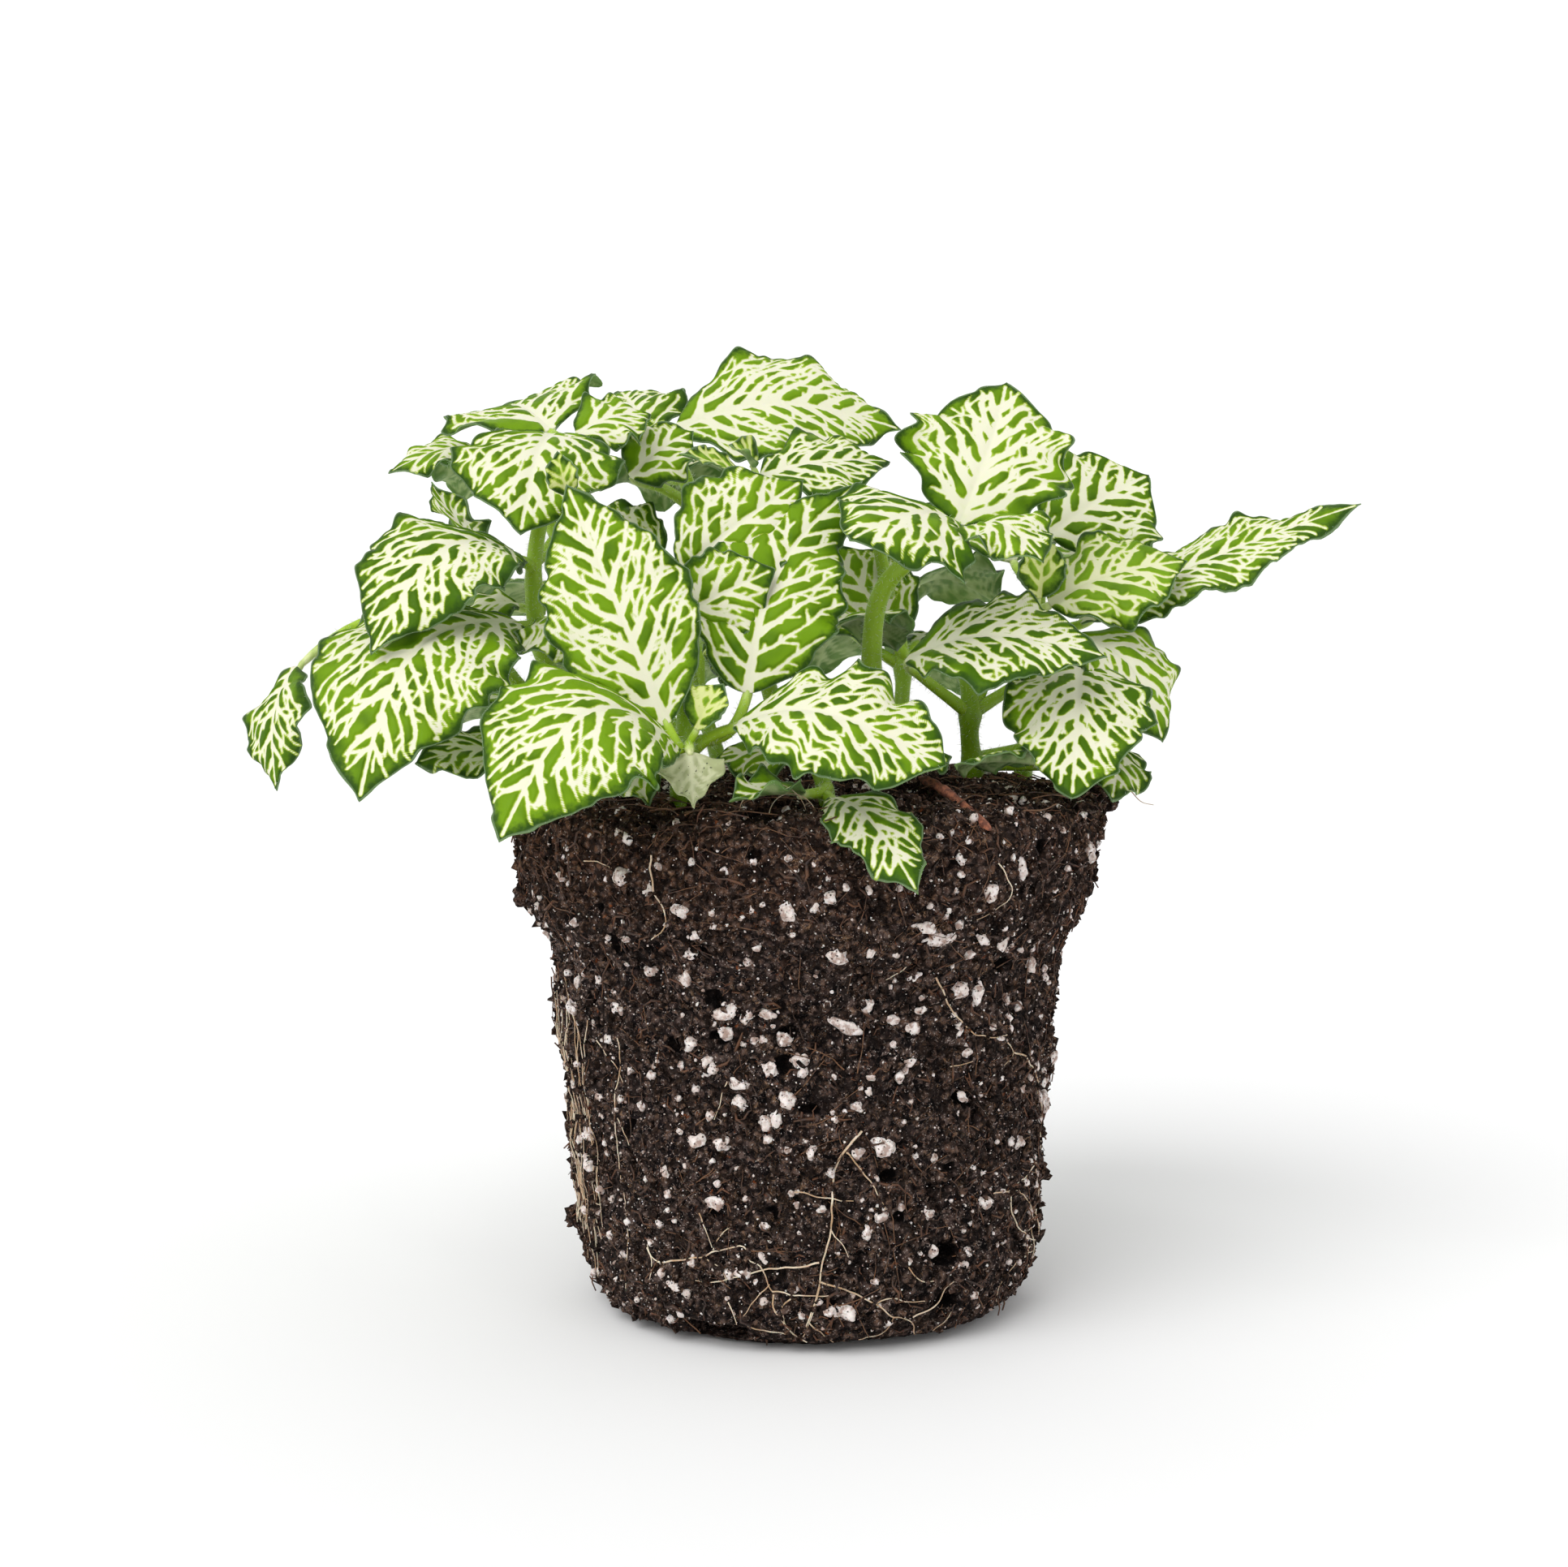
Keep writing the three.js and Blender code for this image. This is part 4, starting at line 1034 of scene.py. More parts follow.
            leaf((17, 44, 137), (22, 50, 137), (42, 66, 132), (1, 4, 7), 23, arch=4, phase=0.6),
        ],
    },
    "back_left": {
        "radius": 2,
        "stem": [(-18, 38, footZ), (-18, 38, 101), (-24, 44, 120), (-24, 48, 137)],
        "leaves": [
            leaf((-22, 42, 112), (-33, 50, 120), (-56, 66, 105), (-2, 5, 7), 26, arch=7, phase=3.5),
            leaf((-22, 42, 113), (-22, 54, 126), (-23, 82, 113), (0, 5, 7), 25, arch=6, phase=1.8),
            leaf((-24, 48, 136), (-30, 47, 142), (-50, 58, 148), (-1, -7, 6), 25, arch=3, phase=0.4),
            leaf((-24, 48, 136), (-20, 54, 143), (-6, 72, 151), (0, -1, 9), 24, arch=3, phase=5.3),
            leaf((-24, 46, 126), (-30, 52, 129), (-50, 70, 126), (-1, 4, 7), 23, arch=4, phase=2),
        ],
    },
}


stemLook = {
    "slim": 0.9,            # thickness next to that of the CAD part's stems
    "top": 0.68,            # thickness at the top, as a share of that at the foot
    "swell": 0.22,          # how much thicker a stem is where a leaf stalk leaves it
    "sides": 14,
    "stalkPoints": 18,
    "stalkSides": 10,
}


def stalkShape(leaf):
    # leaf stalk from the stem into the start of the midrib
    point, tangent, normal, _ = leafFrame(leaf, [0, 0.02, 0.06])
    start, thick, count = leaf["start"], leaf["stalk"], stemLook["stalkPoints"]
    reach = np.linalg.norm(start - point[0])
    bendPoint = leaf["via"]
    if bendPoint is None:
        bendPoint = start + 0.75 * (point[0] - 0.45 * reach * tangent[0] - start)
    end = [point[0] - 0.6 * thick * normal[0], point[2] - thick * normal[2]]
    path = smoothPath([start, bendPoint] + end, count)
    radii = np.interp(np.linspace(0, 1, count), [0, 0.25, 0.85, 1], [1.25, 1.0, 0.8, 0.4]) * thick
    return path, radii


def stemShape(shoot):
    x, y, _ = shoot["stem"][0]
    line = [shoot["stem"][0], (x, y, footZ + 6)] + shoot["stem"][1:]
    path = smoothPath(line, int(np.ptp([p[2] for p in line]) * 1.1) + 10)
    radii = stemLook["slim"] * shoot["radius"] * np.linspace(1, stemLook["top"], len(path))
    for one in shoot["leaves"]:
        away = np.linalg.norm(path - one["start"], axis=1)
        radii += stemLook["swell"] * np.exp(-(away / 2.2) ** 2)
    return path, radii


def leafMaterial():
    # green islands between cream veins: the value "vein" is above 0 inside a vein
    paint = Painter("nerve leaf")
    wander = paint.noise(1.3, detail=2.0)
    vein = paint.math("ADD", paint.attribute("vein"), paint.ramp(wander, 0.3, 0.7, -0.07, 0.07))
    rim, young, upper = paint.attribute("rim"), paint.attribute("young"), paint.attribute("upper")
    broad = paint.noise(9, detail=2.0)
    tone = paint.math("ADD", broad, paint.ramp(paint.attribute("tone"), -1, 1, -0.12, 0.12))
    green = paint.mix(paint.ramp(tone, 0.35, 0.65), colour(66, 102, 3), colour(108, 146, 14))
    green = paint.mix(paint.math("MULTIPLY", young, 0.7), green, colour(130, 168, 48))
    # darker towards the margin, with a greyish hem, and a yellow-green halo along the veins
    inset = paint.math("ADD", rim, paint.ramp(wander, 0.3, 0.7, -0.5, 0.5))
    edge = paint.ramp(inset, 0.2, 2.6, 1.0, 0.0)
    green = paint.mix(edge, green, colour(44, 74, 16))
    hem = paint.ramp(rim, 0.1, 0.42, 0.8, 0.0)
    green = paint.mix(hem, green, colour(112, 134, 96))
    halo = paint.ramp(vein, -0.24, 0.02, 0.0, 0.9)
    green = paint.mix(halo, green, colour(172, 194, 62))
    cream = paint.mix(paint.math("MULTIPLY", young, 0.8), colour(224, 223, 198), colour(208, 216, 122))
    cream = paint.mix(paint.ramp(vein, 0.7, 1.5, 0.0, 0.55), cream, colour(216, 221, 178))
    top = paint.mix(paint.ramp(vein, -0.07, 0.12), green, cream)
    pale = paint.mix(paint.ramp(broad, 0.35, 0.65), colour(104, 138, 74), colour(128, 160, 92))
    under = paint.mix(paint.ramp(vein, -0.5, 0.4), pale, colour(176, 194, 136))
    skin = paint.mix(upper, under, top)
    # the withered leaf is pale and papery, with dark specks
    papery = paint.mix(paint.ramp(vein, -0.3, 0.3), colour(170, 176, 132), colour(206, 208, 172))
    specks = paint.ramp(paint.noise(0.7, detail=1.0), 0.68, 0.72, 0.0, 0.8)
    papery = paint.mix(specks, papery, colour(70, 72, 58))
    skin = paint.mix(paint.attribute("faded"), skin, papery)
    grain = paint.noise(0.5, detail=3.0)
    paint.set(
        Base_Color=skin,
        Roughness=paint.ramp(grain, 0.3, 0.7, 0.42, 0.6),
        Specular_IOR_Level=0.1,
        Subsurface_Weight=0.12,
        Subsurface_Scale=0.0006,
    )
    paint.shader.inputs["Subsurface Radius"].default_value = (0.6, 1.0, 0.25)
    quilt = paint.ramp(vein, -0.7, 0.1, 1.0, 0.0)
    height = paint.math("ADD", paint.math("MULTIPLY", grain, 0.3), quilt)
    paint.bump(height, 0.2, 0.6)
    return paint.material


def stemMaterial():
    # the value "tone" goes from 0 at the foot to 1 high up, and to 2 where a stalk meets its blade
    paint = Painter("green stem")
    tone = paint.attribute("tone")
    green = paint.mix(paint.ramp(tone, 0, 1), colour(114, 150, 8), colour(164, 198, 44))
    streak = paint.noise(1.4, detail=4.0, stretch=(1, 1, 0.25))
    green = paint.mix(paint.ramp(tone, 1, 2), green, colour(226, 228, 178))
    green = paint.mix(paint.ramp(streak, 0.35, 0.7, 0.0, 0.6), green, colour(138, 174, 22))
    green = paint.mix(paint.ramp(paint.noise(0.8), 0.66, 0.74, 0.0, 0.5), green, colour(104, 108, 54))
    paint.set(
        Base_Color=green,
        Roughness=paint.ramp(streak, 0.3, 0.7, 0.4, 0.58),
        Subsurface_Weight=0.2,
        Subsurface_Scale=0.0015,
        Sheen_Weight=0.06,
        Sheen_Roughness=0.4,
    )
    paint.shader.inputs["Subsurface Radius"].default_value = (0.6, 1.0, 0.3)
    paint.bump(streak, 0.12, 0.6)
    return paint.material


def hairMaterial():
    paint = Painter("plant hair")
    shade = paint.noise(2.0)
    paint.set(
        Base_Color=paint.mix(shade, colour(214, 222, 196), colour(240, 243, 230)),
        Roughness=0.55,
        Subsurface_Weight=0.1,
        Subsurface_Scale=0.0005,
    )
    return paint.material


def hairShape():
    # one hair, bent a little, 1 long, with three sides
    thirds = (0, 2.094, 4.189)
    points = []
    for radius, x, z in ((0.035, 0, 0), (0.025, 0.1, 0.55)):
        points += [(x + radius * math.cos(a), radius * math.sin(a), z) for a in thirds]
    points.append((0.3, 0.04, 1))
    faces = [(2, 1, 0), (0, 1, 4, 3), (1, 2, 5, 4), (2, 0, 3, 5), (3, 4, 6), (4, 5, 6), (5, 3, 6)]
    mesh = bpy.data.meshes.new("hair")
    mesh.from_pydata(points, [], faces)
    return mesh


# short hairs of stems and stalks, and of the leaves' margins: how many per square metre, how large
hairs = {
    "Density": 1.9e6, "Spacing": 0.3 * mm, "Smallest": 0.5 * mm, "Largest": 1.2 * mm,
    "Rarity": 1.5, "Sink": 0.05, "Tilt": 0.7,
}
marginHairs = {"Density": 2.6e6, "Smallest": 0.25 * mm, "Largest": 0.65 * mm, "Tilt": 0.9}


def buildShoots():
    # the value "hold" says where hairs stand: on stems, and on the last half millimetre of a blade
    leafSkin, stemSkin, hairSkin = leafMaterial(), stemMaterial(), hairMaterial()
    hair = bpy.data.objects.new("hair", hairShape())
    holder = shapeCollection("hair shapes", [hair])
    seed = 100              # each leaf has a seed of its own, counted on from here
    for name, shoot in shoots.items():
        leaves, stems = MeshBag(), MeshBag()
        path, radii = stemShape(shoot)
        points, quads, triangles = tubeShape(path, radii, stemLook["sides"])
        tone = np.clip((points[:, 2] - 98) / 55, 0, 0.6)
        stems.add(points, quads, triangles, tone=tone, hold=1.0)
        for one in shoot["leaves"]:
            seed += 1
            points, quads, triangles, values = bladeShape(one, seed)
            leaves.add(points, quads, triangles, hold=smoothStep(0.5, 0.1, values["rim"]), **values)
            path, radii = stalkShape(one)
            points, quads, triangles = tubeShape(path, radii, stemLook["stalkSides"])
            rise = np.append(np.repeat(np.linspace(0, 1, len(path)), stemLook["stalkSides"]), [0, 1])
            stems.add(points, quads, triangles, tone=0.6 + 1.4 * rise ** 3, hold=1 - 0.8 * rise)
        blades = leaves.build("leaves_" + name, leafSkin)
        stalks = stems.build("stems_" + name, stemSkin)
        fuzz = dict(hairs, Shapes=holder, Material=hairSkin, Seed=seed)
        stemFuzz = runTree(scatter, stalks, "stem_hairs_" + name, **fuzz)
        rimFuzz = runTree(scatter, blades, "leaf_hairs_" + name, **dict(fuzz, **marginHairs))
        settle(blades, "leaf", "shoot_" + name)
        settle(stalks, "leaf", "shoot_" + name)
        settle(stemFuzz, "leaf")
        settle(rimFuzz, "leaf")
        print("shoot", name, "with", len(shoot["leaves"]), "leaves")
    dropCollection(holder)


# radius and height of the moulded wall, as in the CAD part
wall = [
    (33, 0), (39.5, 2.4), (42.6, 7), (43.6, 13), (45, 30), (46.8, 50), (48.6, 70.5), (52.6, 76.5),
    (54.8, 86), (56, 94.5), (53.6, 97.5),
]

soil = {
    "columns": 420,        # points round the ball
    "grid": 0.72,          # distance between the rows of the wall
    "gridFlat": 1.15,      # and of the underside and the top
    "lump": 0.9,           # height of unevenness about 6 across
    "crumb": 1.2,          # height of crumbs about 2.3 across
    "fine": 0.9,           # height of crumbs half as large
    "grit": 0.3,
    "topRough": 1.5,       # the top is so much rougher than the wall
    "pores": 110,
    # two in front: X, height, half width, half height and depth
    "bigPores": [(24.5, 17.5, 3.4, 2.4, 4.2), (25.5, 8.5, 2.2, 1.7, 3.4)],
    "topZ": 97.5, "topRise": 4, "topRadius": 52,
}

# a gap pressed into the foot by the pot: where it is, seen from above, and its size
footNotch = {"angle": -2.01, "radius": 44, "half": 6.0, "high": 5.0, "deep": 6.5}


def peatRelief(angle, height):
    # slow unevenness of the wall, as in the CAD part
    broad = 0.5 * np.sin(3 * angle + 0.09 * height) * np.sin(0.13 * height + 2 * angle)
    return broad + 0.35 * np.sin(11 * angle - 0.31 * height) * np.cos(0.42 * height + 5 * angle)


def wallRadius(height):
    radius, at = np.array(wall, float).T
    return np.interp(height, at, radius)


def soilTopZ(x, y):
    # the top rises a little to its middle, as in the CAD part
    away = np.minimum(np.hypot(x, y) / soil["topRadius"], 1)
    rise = soil["topZ"] + soil["topRise"] * (1 - away ** 2)
    return rise + 0.5 * np.sin(0.31 * x + 1) * np.cos(0.27 * y)


def frontAngle(x, z):
    # angle of the place on the front of the wall that is x across and z up
    return -math.acos(min(max(x / float(wallRadius(z)), -0.995), 0.995))


def holes():
    # pores in the wall: angle, height, half width, half height and depth
    rng = np.random.default_rng(31)
    made = [(frontAngle(x, z), z, *size) for x, z, *size in soil["bigPores"]]
    for _ in range(soil["pores"]):
        wide = 0.7 + 1.5 * rng.uniform() ** 2
        high, deep = wide * rng.uniform(0.5, 1.1), wide * rng.uniform(0.8, 1.4)
        made.append((rng.uniform(0, 2 * math.pi), rng.uniform(5, 93), wide, high, deep))
    return made


poreList = holes()


def roughPeat(points):
    # how far the peat stands out from its smooth form, and how deep a pore is there
    swirl = points + 0.9 * softNoise(points, 3.0, 12)[..., None]
    crumbs, fine = crumbNoise(swirl, 2.3, 21), crumbNoise(swirl, 1.15, 31)
    out = soil["lump"] * softNoise(points, 6.5, 11) + soil["grit"] * softNoise(points, 0.9, 13)
    out = out + soil["crumb"] * (0.5 - crumbs) + soil["fine"] * (0.5 - fine)
    pores = np.zeros(points.shape[:-1])
    angle, away = np.arctan2(points[..., 1], points[..., 0]), np.hypot(points[..., 0], points[..., 1])
    uneven = 0.35 * softNoise(points, 1.6, 17)
    for at, z, wide, high, deep in poreList:
        side = (angle - at + math.pi) % (2 * math.pi) - math.pi
        near = (side * away / wide) ** 2 + ((points[..., 2] - z) / high) ** 2 + uneven
        pores = np.maximum(pores, deep * np.clip(1 - near, 0, 1) ** 0.6 * (away > 30))
    return out - pores, np.clip(pores, 0, 1)


def wallPoints(angle, height, outwards=0.0):
    # places on the rough wall
    radius = wallRadius(height) + peatRelief(angle, height)
    flat = np.stack([radius * np.cos(angle), radius * np.sin(angle), height + 0 * radius], axis=-1)
    out = roughPeat(flat)[0] + outwards
    facing = np.stack([np.cos(angle), np.sin(angle), 0 * radius], axis=-1)
    return flat + facing * out[..., None]


def ballRows():
    # radius and height of each row of points, from the underside up the wall and over the top, where
    # soilTopZ gives the height instead
    profile = [(0.0, 0.0)] + wall + [(40, None), (22, None), (0.0, None)]
    rows = []
    for (r0, z0), (r1, z1) in zip(profile, profile[1:]):
        onTop = z1 is None
        long = abs(r1 - r0) if onTop else math.hypot(r1 - r0, z1 - z0)
        step = soil["gridFlat"] if (onTop or z1 == 0) else soil["grid"]
        count = max(1, round(long / step))
        for k in range(count):
            f = k / count
            rows.append((r0 + (r1 - r0) * f, None if onTop else z0 + (z1 - z0) * f))
    return rows[1:]


def pressNotch(grid):
    # pushes the wall in at the notch, and tells how much each point lies in it, from 0 to 1
    cos, sin = math.cos(footNotch["angle"]), math.sin(footNotch["angle"])
    x, y = grid[..., 0] - footNotch["radius"] * cos, grid[..., 1] - footNotch["radius"] * sin
    side, ahead = y * cos - x * sin, x * cos + y * sin
    inNotch = smoothStep(1.1, 0.8, np.abs(side) / footNotch["half"])
    inNotch = inNotch * smoothStep(1.1, 0.75, grid[..., 2] / footNotch["high"]) * (ahead > -7)
    grid[..., 0] -= inNotch * footNotch["deep"] * cos
    grid[..., 1] -= inNotch * footNotch["deep"] * sin
    return inNotch


def ballMesh(material):
    # the values tell the depth below the surface, which darkens the peat's colour as painted shade, the
    # lighter collar, and where grains may stick
    rows = ballRows()
    angle = np.linspace(0, 2 * math.pi, soil["columns"], endpoint=False)
    points = []
    for r, z in rows:
        onTop = z is None
        wide = r + (0 if onTop else peatRelief(angle, z) * min(r / wall[0][0], 1) ** 4)
        x, y = wide * np.cos(angle), wide * np.sin(angle)
        points.append(np.stack([x, y, soilTopZ(x, y) if onTop else z + 0 * x], axis=-1))
    grid = np.array(points)
    slope = np.gradient(grid, axis=0)
    around = np.roll(grid, -1, axis=1) - np.roll(grid, 1, axis=1)
    facing = unit(np.cross(around, slope))
    out, pores = roughPeat(grid)
    out = out * (0.25 + 0.75 * smoothStep(0.0, 5.0, grid[..., 2]))      # calmer at the foot
    isTop = np.array([z is None for _, z in rows])[:, None]
    out = np.where(isTop, out * soil["topRough"], out)
    grid = grid + facing * out[..., None]
    inNotch = pressNotch(grid)
    grid[..., 2] = np.maximum(grid[..., 2], 0.0)
    ends = np.array([[0, 0, 0], [0, 0, float(grid[-1, :, 2].mean())]])

    def withEnds(values, foot=0, head=0):
        return np.concatenate([values.ravel(), [foot, head]])

    height = withEnds(grid[..., 2], head=100)
    leftness = smoothStep(30, -50, withEnds(grid[..., 0]))
    notchFree = 1 - smoothStep(0.0, 0.3, withEnds(inNotch))
    unbroken = 1 - 0.9 * withEnds(pores)
    bag = MeshBag()
    bag.add(
        np.vstack([grid.reshape(-1, 3), ends]),
        *ringFaces(*grid.shape[:2]),
        depth=withEnds(np.clip(-out - 0.1 + pores, 0, 4)),
        collar=smoothStep(70, 92, height) * (0.35 + 0.65 * leftness),
        hold=unbroken * smoothStep(1.5, 4.0, height) * notchFree,
    )
    return bag.build("peat_ball", material)


def peatMaterial(name="peat", lighter=0.0):
    paint = Painter(name)
    crumbs, small = paint.cells(1.5), paint.cells(0.75)
    lumps, grains, specks = paint.noise(5.0), paint.noise(0.9, detail=4.0), paint.noise(0.42, detail=2.0)
    skin = paint.mix(paint.ramp(lumps, 0.35, 0.65), colour(11, 8, 9), colour(28, 23, 25))
    skin = paint.mix(paint.ramp(crumbs.outputs["Color"], 0.4, 0.75, 0.0, 0.85), skin, colour(70, 56, 52))
    skin = paint.mix(paint.ramp(small.outputs["Color"], 0.5, 0.75, 0.0, 0.75), skin, colour(100, 84, 78))
    skin = paint.mix(paint.ramp(grains, 0.53, 0.66, 0.0, 0.8), skin, colour(108, 84, 70))
    skin = paint.mix(paint.ramp(specks, 0.58, 0.68, 0.0, 0.9), skin, colour(170, 156, 148))
    high = paint.math("MULTIPLY", paint.attribute("collar"), paint.ramp(grains, 0.4, 0.6, 0.1, 0.75))
    skin = paint.mix(high, skin, colour(104, 72, 52))
    rust = paint.noise(1.9, detail=4.0, distortion=1.5)
    skin = paint.mix(paint.ramp(rust, 0.65, 0.71, 0.0, 0.75), skin, colour(134, 70, 34))
    # thin threads, where a noise crosses its middle value
    for size, share in ((2.2, 0.75), (3.6, 0.6)):
        level = paint.noise(size, detail=1.5, distortion=1.2)
        off = paint.math("ABSOLUTE", paint.math("SUBTRACT", level, 0.5))
        thread = paint.ramp(off, 0.004, 0.016, share, 0.0)
        where = paint.ramp(paint.noise(size * 1.9), 0.5, 0.62)
        skin = paint.mix(paint.math("MULTIPLY", thread, where), skin, colour(150, 118, 90))
    if lighter:
        skin = paint.mix(lighter, skin, colour(104, 74, 52))
    # painted shade: the gaps between the crumbs are darkened in colour
    gaps = paint.math("MULTIPLY", paint.ramp(crumbs.outputs["Distance"], 0.32, 0.62), 0.8)
    skin = paint.mix(gaps, skin, colour(10, 8, 8))
    # painted shade: the colour darkens where the surface lies deep, in pores and hollows
    shade = paint.ramp(paint.attribute("depth"), 0.1, 1.3, 0.0, 0.92)
    paint.set(
        Base_Color=paint.mix(shade, skin, colour(8, 6, 6)),
        Roughness=paint.ramp(specks, 0.3, 0.6, 0.6, 0.95),
        Specular_IOR_Level=0.04,
    )
    height = paint.math("SUBTRACT", paint.math("ADD", grains, specks), crumbs.outputs["Distance"])
    paint.bump(height, 0.6, 0.9)
    return paint.material


def perliteMaterial():
    paint = Painter("white grain")
    # painted shade: the pits of the grain are darkened in colour
    pores = paint.cells(0.75)
    pit = paint.ramp(pores.outputs["Distance"], 0.12, 0.3, 1.0, 0.0)
    some = paint.ramp(paint.noise(1.2), 0.4, 0.5)
    pit = paint.math("MULTIPLY", pit, some)
    body = paint.mix(paint.ramp(paint.noise(1.6), 0.35, 0.7), colour(236, 228, 224), colour(206, 192, 184))
    stain = paint.ramp(paint.noise(1.3, detail=4.0), 0.46, 0.62, 0.0, 0.75)
    body = paint.mix(stain, body, colour(140, 108, 92))
    paint.set(
        Base_Color=paint.mix(pit, body, colour(66, 50, 42)),
        Roughness=0.85,
        Specular_IOR_Level=0.2,
        Subsurface_Weight=0.1,
        Subsurface_Scale=0.0006,
    )
    height = paint.math("SUBTRACT", paint.noise(0.6, detail=3.0), pit)
    paint.bump(height, 0.35, 0.9)
    return paint.material


def rootMaterial(name, light, dark):
    paint = Painter(name)
    along = paint.noise(4.0, detail=3.0)
    paint.set(
        Base_Color=paint.mix(paint.ramp(along, 0.35, 0.65), colour(*light), colour(*dark)),
        Roughness=paint.ramp(paint.noise(0.6), 0.3, 0.7, 0.5, 0.8),
        Subsurface_Weight=0.15,
        Subsurface_Scale=0.0006,
    )
    paint.bump(paint.noise(0.5), 0.08, 0.6)
    return paint.material


def lumpShape(name, seed, detail, flatness=0.75, rough=0.28):
    # a lumpy grain about 1 across, with 20 faces for detail 0, 56 for 1, 80 for 2 and 320 for 3
    rng = np.random.default_rng(seed)
    work = bmesh.new()
    if detail == 1:
        bmesh.ops.create_uvsphere(work, u_segments=7, v_segments=5, radius=0.5)
        bmesh.ops.triangulate(work, faces=work.faces[:])
    else:
        bmesh.ops.create_icosphere(work, subdivisions=detail, radius=0.5)
    mesh = bpy.data.meshes.new(name)
    work.to_mesh(mesh)
    work.free()
    points = np.array([v.co for v in mesh.vertices])
    swell = softNoise(points + seed * 3.7, 0.42, seed) + 0.5 * softNoise(points + seed, 0.2, seed + 1)
    points = points * (1 + rough * swell)[:, None] * np.array([1, rng.uniform(0.7, 0.95), flatness])
    mesh.vertices.foreach_set("co", points.astype(np.float32).ravel())
    return bpy.data.objects.new(name, mesh)


def dustShape(name, seed):
    # a speck with eight faces, about 1 across
    rng = np.random.default_rng(seed)
    mesh = bpy.data.meshes.new(name)
    corners = [(1, 0, 0), (0, 1, 0), (-1, 0, 0), (0, -1, 0), (0, 0, 1), (0, 0, -1)]
    points = [tuple(np.array(c) * rng.uniform(0.35, 0.6)) for c in corners]
    faces = [(k, (k + 1) % 4, 4) for k in range(4)] + [((k + 1) % 4, k, 5) for k in range(4)]
    mesh.from_pydata(points, [], faces)
    return bpy.data.objects.new(name, mesh)


def chipShape(name, seed):
    # a flat fibre or splinter of bark about 1 long
    rng = np.random.default_rng(seed)
    bend = rng.uniform(-0.25, 0.25, 4)
    mesh = bpy.data.meshes.new(name)
    points, faces = [], []
    for k in range(4):
        x = k / 3 - 0.5
        half = (0.035, 0.06, 0.05, 0.025)[k]
        y, z = bend[k] * 0.5, 0.1 * math.sin(4 * x + bend[0] * 8)
        points += [(x, y - half, z), (x, y + half, z + 0.01), (x, y, z + 0.05)]
    for k in range(3):
        for j in range(3):
            a, b = 3 * k + j, 3 * k + (j + 1) % 3
            faces.append((a, b, b + 3, a + 3))
    faces += [(0, 2, 1), (9, 10, 11)]
    mesh.from_pydata(points, [], faces)
    return bpy.data.objects.new(name, mesh)


def lumpArrays(*options, **more):
    # points and faces of a lump that goes into a larger mesh
    shape = lumpShape(*options, **more)
    points = np.array([v.co for v in shape.data.vertices])
    faces = np.array([list(p.vertices) for p in shape.data.polygons])
    bpy.data.objects.remove(shape)
    return points, faces


# larger white grains: how many on the sides and the back, their smallest size and its range
largeGrains = {"around": 260, "smallest": 1.3, "range": 2.6, "rough": 0.44}

